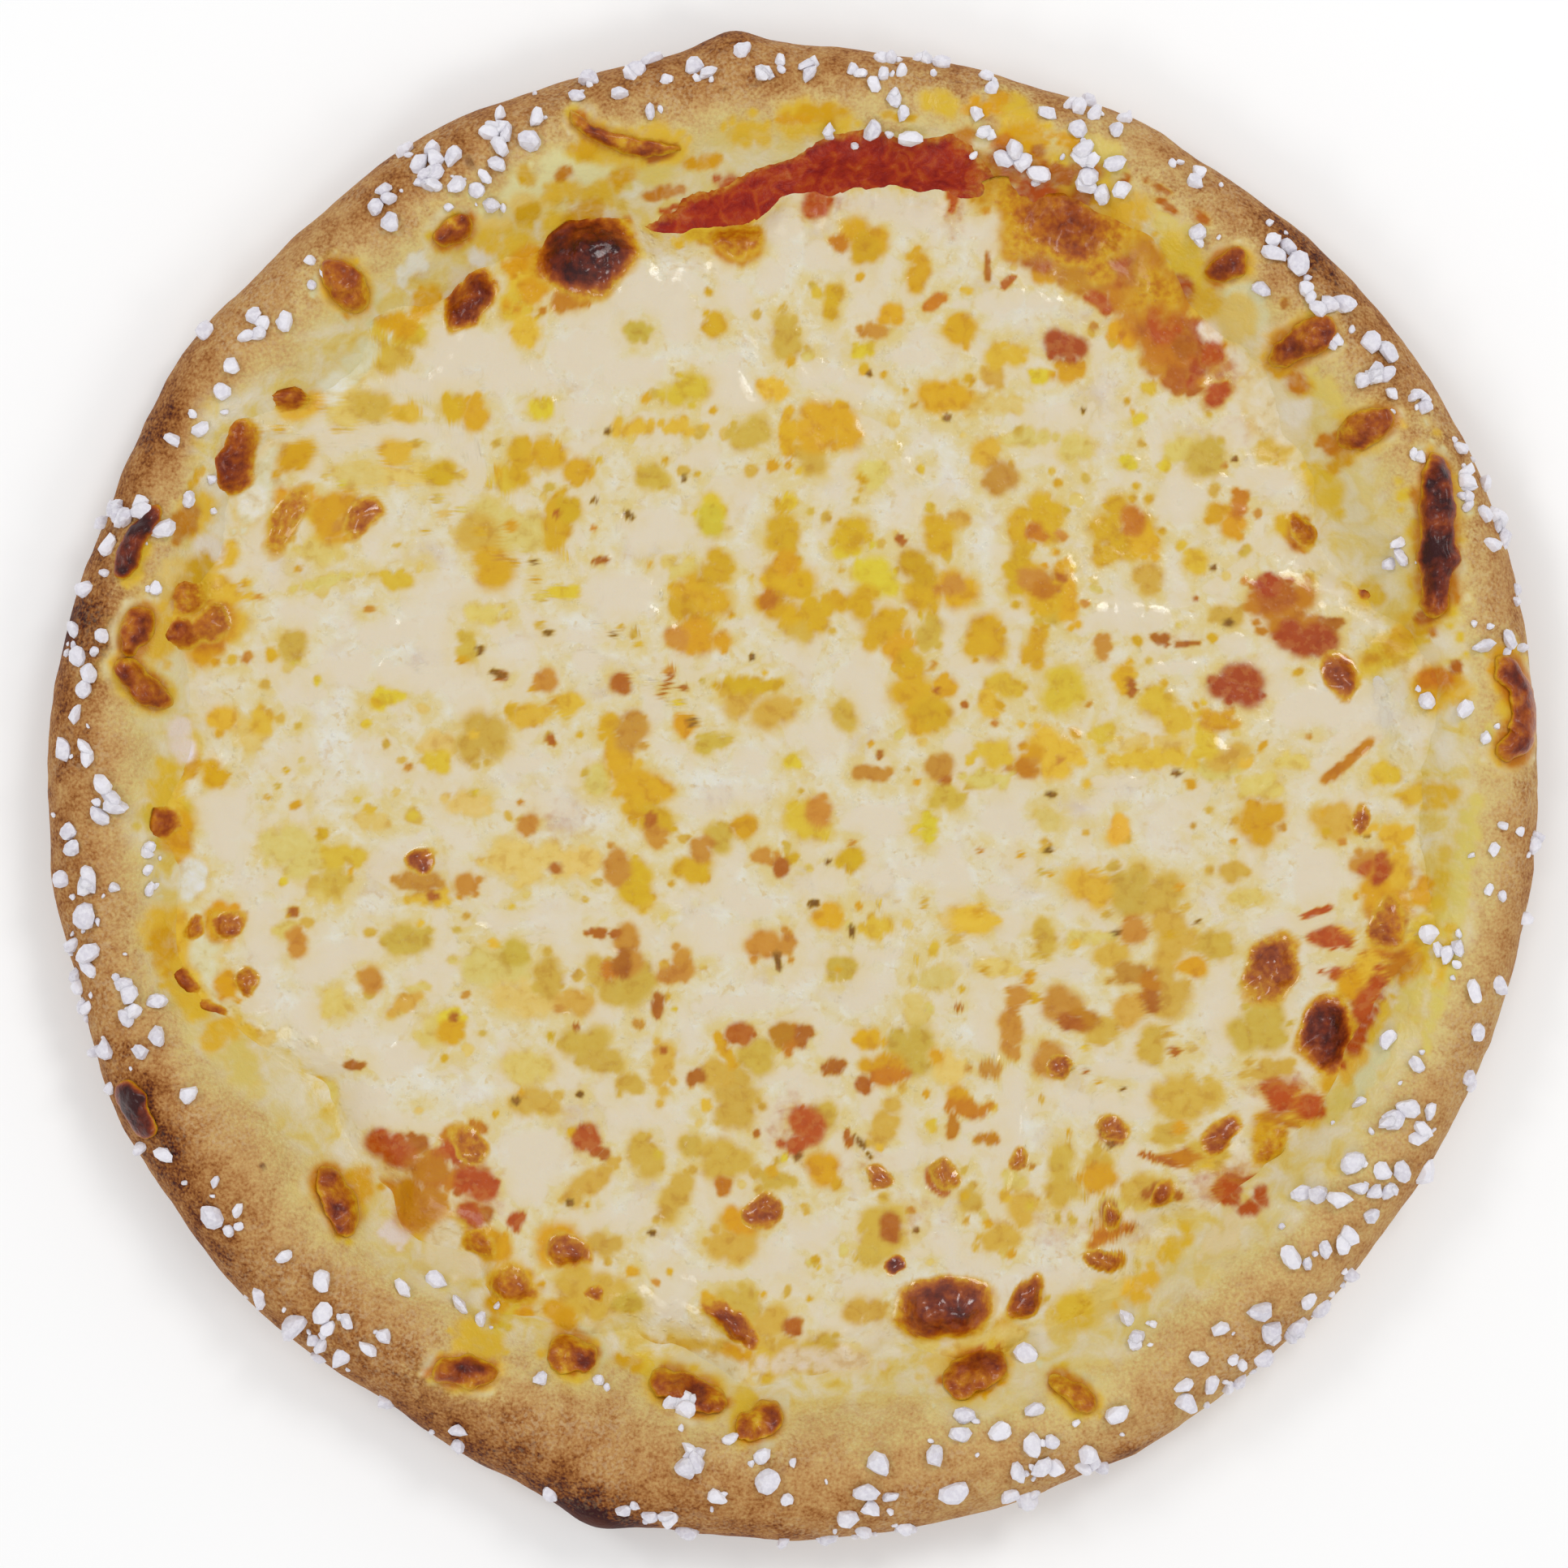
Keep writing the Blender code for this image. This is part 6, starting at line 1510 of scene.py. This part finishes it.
# (angle, radius, grains, length of a grain) of each knot of coarse salt
SALT_KNOTS = (
    (4.5, 116.5, 1, 1.8), (7, 113.5, 1, 2.8), (8, 107.7, 1, 2.8), (11, 120, 2, 3), (11.3, 125.3, 1, 2.2),
    (15, 127.4, 2, 1.8), (20.2, 126.8, 5, 2.9), (24.5, 127.4, 4, 2.6), (22.8, 124.6, 3, 2.3),
    (27.2, 126, 1, 2.4), (21, 110.8, 2, 2.4), (21, 107.4, 1, 2.6), (28.1, 119.4, 2, 1.8), (31.6, 121.6, 5, 2.4),
    (34.6, 120.5, 2, 3.2), (37, 120.6, 5, 2.9), (37, 124.7, 1, 2.2), (39.3, 117, 2, 2.1), (41.5, 121.6, 3, 3),
    (44, 120, 2, 2.1), (46.9, 122.3, 3, 3), (48.9, 122.9, 1, 2.3), (47, 115.2, 1, 2.4), (54, 117.6, 2, 2.8),
    (56.2, 123.6, 2, 2.3), (62.8, 114.8, 4, 3), (66, 116.5, 3, 2.8), (66, 120.4, 2, 2.8), (63.8, 126, 2, 2.2),
    (66.8, 126.4, 4, 2.5), (69.5, 122, 1, 2.4), (68.2, 112.2, 1, 3), (71.2, 112, 3, 2.7), (73.2, 114.3, 2, 2.2),
    (74.9, 117.9, 1, 2.6), (74.8, 124.4, 2, 2), (79.6, 125.4, 3, 2.5), (82.6, 125, 2, 2.3),
    (79.8, 111.6, 1, 3.4), (81, 116.3, 2, 2.3), (83.2, 111.8, 1, 2.8), (82.5, 120.2, 4, 2.2),
    (85.3, 122.4, 2, 2), (88, 122.2, 3, 2.4), (87, 111.6, 2, 1.9), (91, 123, 1, 2), (93.3, 122.1, 3, 2.7),
    (97.3, 122.1, 2, 2.5), (100, 121.5, 1, 2), (103, 122.5, 3, 2.5), (101, 126.2, 1, 3), (105.8, 125, 1, 2.8),
    (107.3, 122.5, 1, 2.6), (101.8, 116.3, 1, 2.2), (114.2, 122.6, 3, 2.6), (114.6, 118.8, 4, 2.6),
    (112, 117.8, 1, 3), (111, 120.8, 1, 2.6), (118.2, 123.1, 2, 2.8), (121.2, 122.7, 4, 2.8),
    (120.2, 119.8, 3, 2.4), (124.3, 122.2, 1, 2.4), (124.8, 119.2, 3, 2.6), (119, 116, 1, 2.6),
    (117, 115.3, 2, 2.3), (120.4, 113.4, 1, 1.5), (117.3, 111, 1, 2.4), (132.2, 118.6, 2, 2),
    (138.8, 119.8, 4, 2.3), (137.2, 116.2, 1, 2.5), (142, 126, 1, 3), (143, 118, 1, 2.5), (144.8, 117, 1, 2.4),
    (148.6, 116.5, 1, 2.3), (150.5, 119.3, 1, 2.3), (154, 112.8, 1, 2.3), (157.3, 114.6, 1, 3.2),
    (157.6, 120.4, 4, 2.8), (159.4, 122.6, 4, 2.9), (157.2, 124, 1, 2.2), (162.1, 112.7, 1, 2.2),
    (163.9, 124, 1, 2.5), (167.1, 119, 1, 2.5), (167.1, 124.2, 1, 2.4), (169.4, 122.5, 1, 2.4),
    (171.5, 121.8, 2, 3), (173.8, 121.2, 1, 2.6), (176.8, 121.2, 3, 3.1), (179.4, 116.2, 2, 3),
    (181.2, 113.6, 1, 3.1), (182.1, 116.3, 1, 3.1), (183.2, 122, 1, 2.9), (184.6, 121.6, 1, 2.7),
    (186.9, 124.6, 1, 2.5), (187.9, 121.6, 3, 2.7), (190.1, 121, 1, 3.2), (188, 115.3, 1, 1.5),
    (188, 109.2, 2, 2.1), (185.4, 108, 2, 2.1), (192, 124.3, 1, 2.8), (193.7, 120.7, 2, 3.1),
    (195.3, 125.6, 2, 2.4), (197.8, 125.6, 2, 2.2), (196.2, 117.2, 2, 2.9), (198.7, 118.1, 1, 2.8),
    (198, 114.8, 2, 2.9), (201.1, 114.3, 1, 3.2), (201.9, 117.8, 1, 2.5), (200.4, 123.6, 2, 2.6),
    (203.4, 126, 1, 2.2), (208.5, 125.8, 1, 2.5), (210, 122, 1, 2.9), (206.5, 113.3, 1, 3.2),
    (216.2, 121, 1, 3.8), (218, 119.7, 1, 1.8), (217, 116.5, 1, 2.5), (214, 116.7, 1, 1.6),
    (222.5, 115.3, 1, 2.1), (223.4, 124, 1, 3), (226.2, 113.6, 1, 2.9), (226.9, 122.9, 1, 4.6),
    (228.8, 124.4, 3, 2.5), (227.8, 118, 1, 3.1), (229.2, 117, 2, 2.3), (231.5, 122.2, 1, 3),
    (232.6, 117.2, 1, 2.7), (233, 114.3, 1, 2.2), (232, 106.4, 1, 3), (234, 102.2, 1, 2.8),
    (237, 103.4, 1, 3.1), (239.2, 103.6, 1, 2.5), (236.4, 124.2, 1, 2.4), (242.3, 123.2, 2, 2.6),
    (246.8, 107.5, 1, 2.5), (251.7, 104.5, 1, 2.3), (251.1, 125.7, 1, 2.6), (256.8, 124, 1, 2.1),
    (258.8, 124.4, 1, 2.5), (261, 126, 2, 2.9), (260.2, 123.4, 1, 2.1), (263.9, 118.8, 1, 2.5),
    (261, 114.8, 1, 3.2), (268, 115, 1, 3.9), (267.4, 111, 1, 2.7), (261.2, 111.2, 3, 2.9),
    (259.4, 108, 5, 2.7), (264.5, 109, 1, 2.3), (269.3, 126.6, 1, 2.6), (269.7, 118.5, 1, 2.1),
    (272.7, 126.4, 1, 3), (274.1, 122.3, 1, 3.2), (275.5, 125.4, 1, 2.4), (276.2, 121.2, 1, 3),
    (276.2, 118, 1, 3.4), (277.9, 119.2, 1, 2.7), (277.3, 113.5, 1, 3.6), (278.9, 126, 3, 2.4),
    (282.1, 113.6, 1, 3.2), (283, 120.8, 1, 3.7), (286, 110, 2, 2.9), (288, 112.8, 1, 3.3),
    (287, 124.6, 1, 3.1), (289.2, 125.6, 2, 3.1), (288.3, 120.6, 1, 2.6), (290.3, 116.6, 1, 3),
    (291.3, 111.6, 1, 3), (291.8, 117.4, 1, 2.2), (291.3, 120.7, 2, 3.1), (293.8, 125, 4, 2.8),
    (292.4, 103.3, 1, 3), (297.2, 117.8, 1, 3.4), (302.2, 107, 2, 2.6), (301.8, 109.7, 1, 2.2),
    (302.8, 122.4, 1, 3), (303.2, 119.7, 1, 2.8), (305.2, 122.4, 1, 2.8), (305.8, 117.2, 1, 3.1),
    (307, 125.2, 2, 2.6), (308, 122.6, 2, 1.9), (309.7, 124.8, 1, 2.9), (308.6, 115.2, 1, 2.8),
    (311.2, 121.8, 1, 2.7), (312.7, 121.6, 2, 2.9), (312.1, 117.4, 1, 3.9), (312.4, 125, 1, 2.6),
    (314.4, 124.4, 3, 3), (317, 114.2, 1, 3.4), (317.3, 117, 1, 1.8), (318.9, 124.9, 1, 3),
    (319.4, 118, 1, 2.4), (321.7, 120, 2, 3), (323.8, 120.5, 1, 2.8), (323.2, 114.3, 1, 3.9),
    (322.8, 109.6, 2, 3.1), (326.5, 120.8, 1, 2), (326.6, 117, 4, 2.5), (326.4, 112.7, 1, 3.5),
    (328.3, 118.8, 2, 3), (329, 124.8, 1, 3.2), (331.2, 120.4, 1, 3), (331.6, 117.4, 2, 2.9),
    (332.8, 116.2, 1, 3.1), (331.1, 114.3, 1, 3), (333.3, 120, 1, 2.6), (331.2, 109, 1, 2.3),
    (336.5, 114.3, 1, 2.7), (337.5, 109, 1, 2.8), (337.2, 125, 2, 2.1), (340.6, 122.4, 1, 2.7),
    (344.6, 123.6, 1, 2.8), (343.7, 119.5, 1, 2.8), (345.7, 114.5, 2, 2.6), (346, 111.9, 1, 2.3),
    (347.4, 110, 1, 2.9), (350.2, 126.6, 1, 2.5), (352, 119, 2, 1.7), (355.3, 118, 1, 2.1),
    (356.3, 125.8, 2, 2.4), (357.3, 119.1, 1, 1.7),
)


def salt_grains():
    """(x, y, length, turn) of every grain, drawn round its knot as in the solid."""
    draw = random.Random(SALT_SEED)
    grains = []
    for angle, radius, count, length in SALT_KNOTS:
        for _ in range(count):
            spread = 0.25 if count == 1 else 0.62 * length * math.sqrt(count)
            x, y = place(angle, radius)
            x += draw.uniform(-1, 1) * spread
            y += draw.uniform(-1, 1) * spread
            grains.append((x, y, length * draw.uniform(0.9, 1.1), draw.uniform(0, math.pi)))
    return np.array(grains)


def small_grains(count, seed):
    """Crumbs of the same salt, strewn round the knots but much smaller."""
    draw = np.random.default_rng(seed)
    knots = np.array(SALT_KNOTS)[draw.integers(0, len(SALT_KNOTS), count)]
    x, y = place(knots[:, 0] + draw.normal(0, 1.6, count), knots[:, 1] + draw.normal(0, 2.0, count))
    return np.stack([x, y, draw.uniform(0.6, 1.5, count), draw.uniform(0, math.pi, count)], 1)


# %% Crystals
PLANES = 9      # how many facets are cut on each grain


def rough_ball():
    """Corners and faces of a ball of eighty triangles."""
    bm = bmesh.new()
    bmesh.ops.create_icosphere(bm, subdivisions=2, radius=1)
    corners = np.array([v.co for v in bm.verts])
    faces = np.array([[v.index for v in f.verts] for f in bm.faces])
    bm.free()
    return corners, faces


def crystals(grains, height_at, seed):
    """Corners and faces of all grains, each a ball cut back by random planes, and the corners per grain."""
    draw = np.random.default_rng(seed)
    ball, ball_faces = rough_ball()
    normals = draw.normal(size=(len(grains), PLANES, 3))
    normals /= np.linalg.norm(normals, axis=2, keepdims=True)
    depth = draw.uniform(0.52, 0.92, (len(grains), PLANES))
    facing_plane = np.einsum("gpk,ck->gcp", normals, ball)
    reach = np.where(facing_plane > 0.05, depth[:, None, :] / np.maximum(facing_plane, 0.05), 9)
    out = np.minimum(reach.min(2), 1.05)[..., None] * ball[None]
    x, y, length, turn = grains.T
    slim = draw.uniform(0.62, 0.95, len(grains))
    half = np.stack([length / 2, length / 2 * slim, length / 2 * 0.66], 1)
    out = out * half[:, None, :] * 1.42
    c, s = np.cos(turn)[:, None], np.sin(turn)[:, None]
    px = x[:, None] + out[..., 0] * c - out[..., 1] * s
    py = y[:, None] + out[..., 0] * s + out[..., 1] * c
    pz = height_at[:, None] + 0.22 * length[:, None] + out[..., 2]
    points = np.stack([px, py, pz], -1).reshape(-1, 3)
    first = np.arange(len(grains))[:, None, None] * len(ball)
    return points, (ball_faces[None] + first).reshape(-1, 3).tolist(), len(ball)


def ground_under(x, y):
    """Height of whatever a grain lies on: dough, cheese or sauce."""
    angle, radius = polar(x, y)
    edge = melt_edge(angle)
    melted = melt_height(x, y, edge) + blisters(x, y)[0]
    ground = np.where(radius < edge - 0.5, melted, dough_skin(x, y))
    on_sauce = (radius < sauce_outline(angle)) & (radius >= edge - 0.5)
    return np.where(on_sauce, dough_skin(x, y) + 0.9, ground)


grains = np.concatenate([salt_grains(), small_grains(170, 23)])
grain_angle, grain_radius = polar(grains[:, 0], grains[:, 1])
grain_radius = np.minimum(grain_radius, outline(grain_angle) - 0.7)
grains[:, 0], grains[:, 1] = place(grain_angle, grain_radius)
heights = ground_under(grains[:, 0], grains[:, 1])
salt_points, salt_faces, per_grain = crystals(grains, heights, 37)
tone = np.repeat(np.random.default_rng(5).uniform(0, 1, len(grains)), per_grain)

salt_look, tree, shader = new_look("pretzel_salt")
tinted = mixed(tree, read(tree, "tone"), (0.66, 0.63, 0.7), (0.82, 0.8, 0.86))
cloudy = step(tree, grain(tree, 0.7, 3), 0.35, 0.65, 0.0, 0.5)
feed(tree, shader, {
    "Base Color": mixed(tree, cloudy, tinted, (0.9, 0.885, 0.92)), "Roughness": 0.42,
    "Normal": bumps(tree, grain(tree, 0.35, 2), 0.25, 0.2),
    **translucent(0.25, (1.0, 1.0, 1.0), 0.8),
})
add_piece("salt_crystals", salt_points, salt_faces, {"tone": tone}, salt_look, [], flat=True)

# %% [markdown]
# ## Floor, light and camera
# The photograph looks straight down on white. A pale floor, a dim even sky and four large soft lamps
# round the table, the strongest at the upper right, give the same flat light with short shadows to the
# lower left; wet bumps mirror the lamps as small glints. The camera's distance and lens make the frame
# 267 mm wide at the height where the rim is widest.

# %% Stage
FLOOR_REACH, FLOOR_LEVEL = 3.0, -0.5 * MM    # metres
SKY_STRENGTH = 0.62
# (x, y, z, watts) of the soft lamps in metres
LAMPS = (
    (0.42, 0.5, 0.85, 2.45), (-0.62, 0.38, 0.8, 1.85), (-0.3, -0.66, 0.8, 1.5), (0.66, -0.34, 0.8, 1.15),
)
LAMP_SIZE = 0.28
CAMERA_PLACE = (-0.0015, 0.00125, 0.6386)
LENS, FILM_WIDTH = 85, 36        # millimetres


def stand(name, data):
    """An object for the stage: a floor, a lamp or a camera."""
    made = bpy.data.objects.new(name, data)
    bpy.context.scene.collection.objects.link(made)
    return made


floor_mesh = bpy.data.meshes.new("floor")
corners = [(-1, -1), (1, -1), (1, 1), (-1, 1)]
floor_mesh.from_pydata(
    [(x * FLOOR_REACH, y * FLOOR_REACH, FLOOR_LEVEL) for x, y in corners], [], [(0, 1, 2, 3)]
)
floor_look, tree, shader = new_look("pale_floor")
feed(tree, shader, {"Base Color": (0.93, 0.93, 0.93, 1), "Roughness": 0.9})
floor_mesh.materials.append(floor_look)
stand("floor", floor_mesh)

world = bpy.data.worlds.new("even_sky")
world.use_nodes = True
tree = world.node_tree
feed(tree, tree.nodes["Background"], {"Color": (1.0, 1.0, 1.0, 1), "Strength": SKY_STRENGTH})
bpy.context.scene.world = world

for *spot, watts in LAMPS:
    lamp_data = bpy.data.lights.new("soft_lamp", "AREA")
    lamp_data.energy = watts
    lamp_data.size = LAMP_SIZE
    lamp = stand("soft_lamp", lamp_data)
    lamp.location = spot
    lamp.rotation_euler = (-lamp.location).to_track_quat("-Z", "Y").to_euler()

camera_data = bpy.data.cameras.new("camera")
camera_data.lens, camera_data.sensor_width = LENS, FILM_WIDTH
camera = stand("camera", camera_data)
camera.location = CAMERA_PLACE
bpy.context.scene.camera = camera
bpy.context.scene.view_settings.view_transform = "Standard"
print("lamps:", len(LAMPS), "sky:", SKY_STRENGTH)
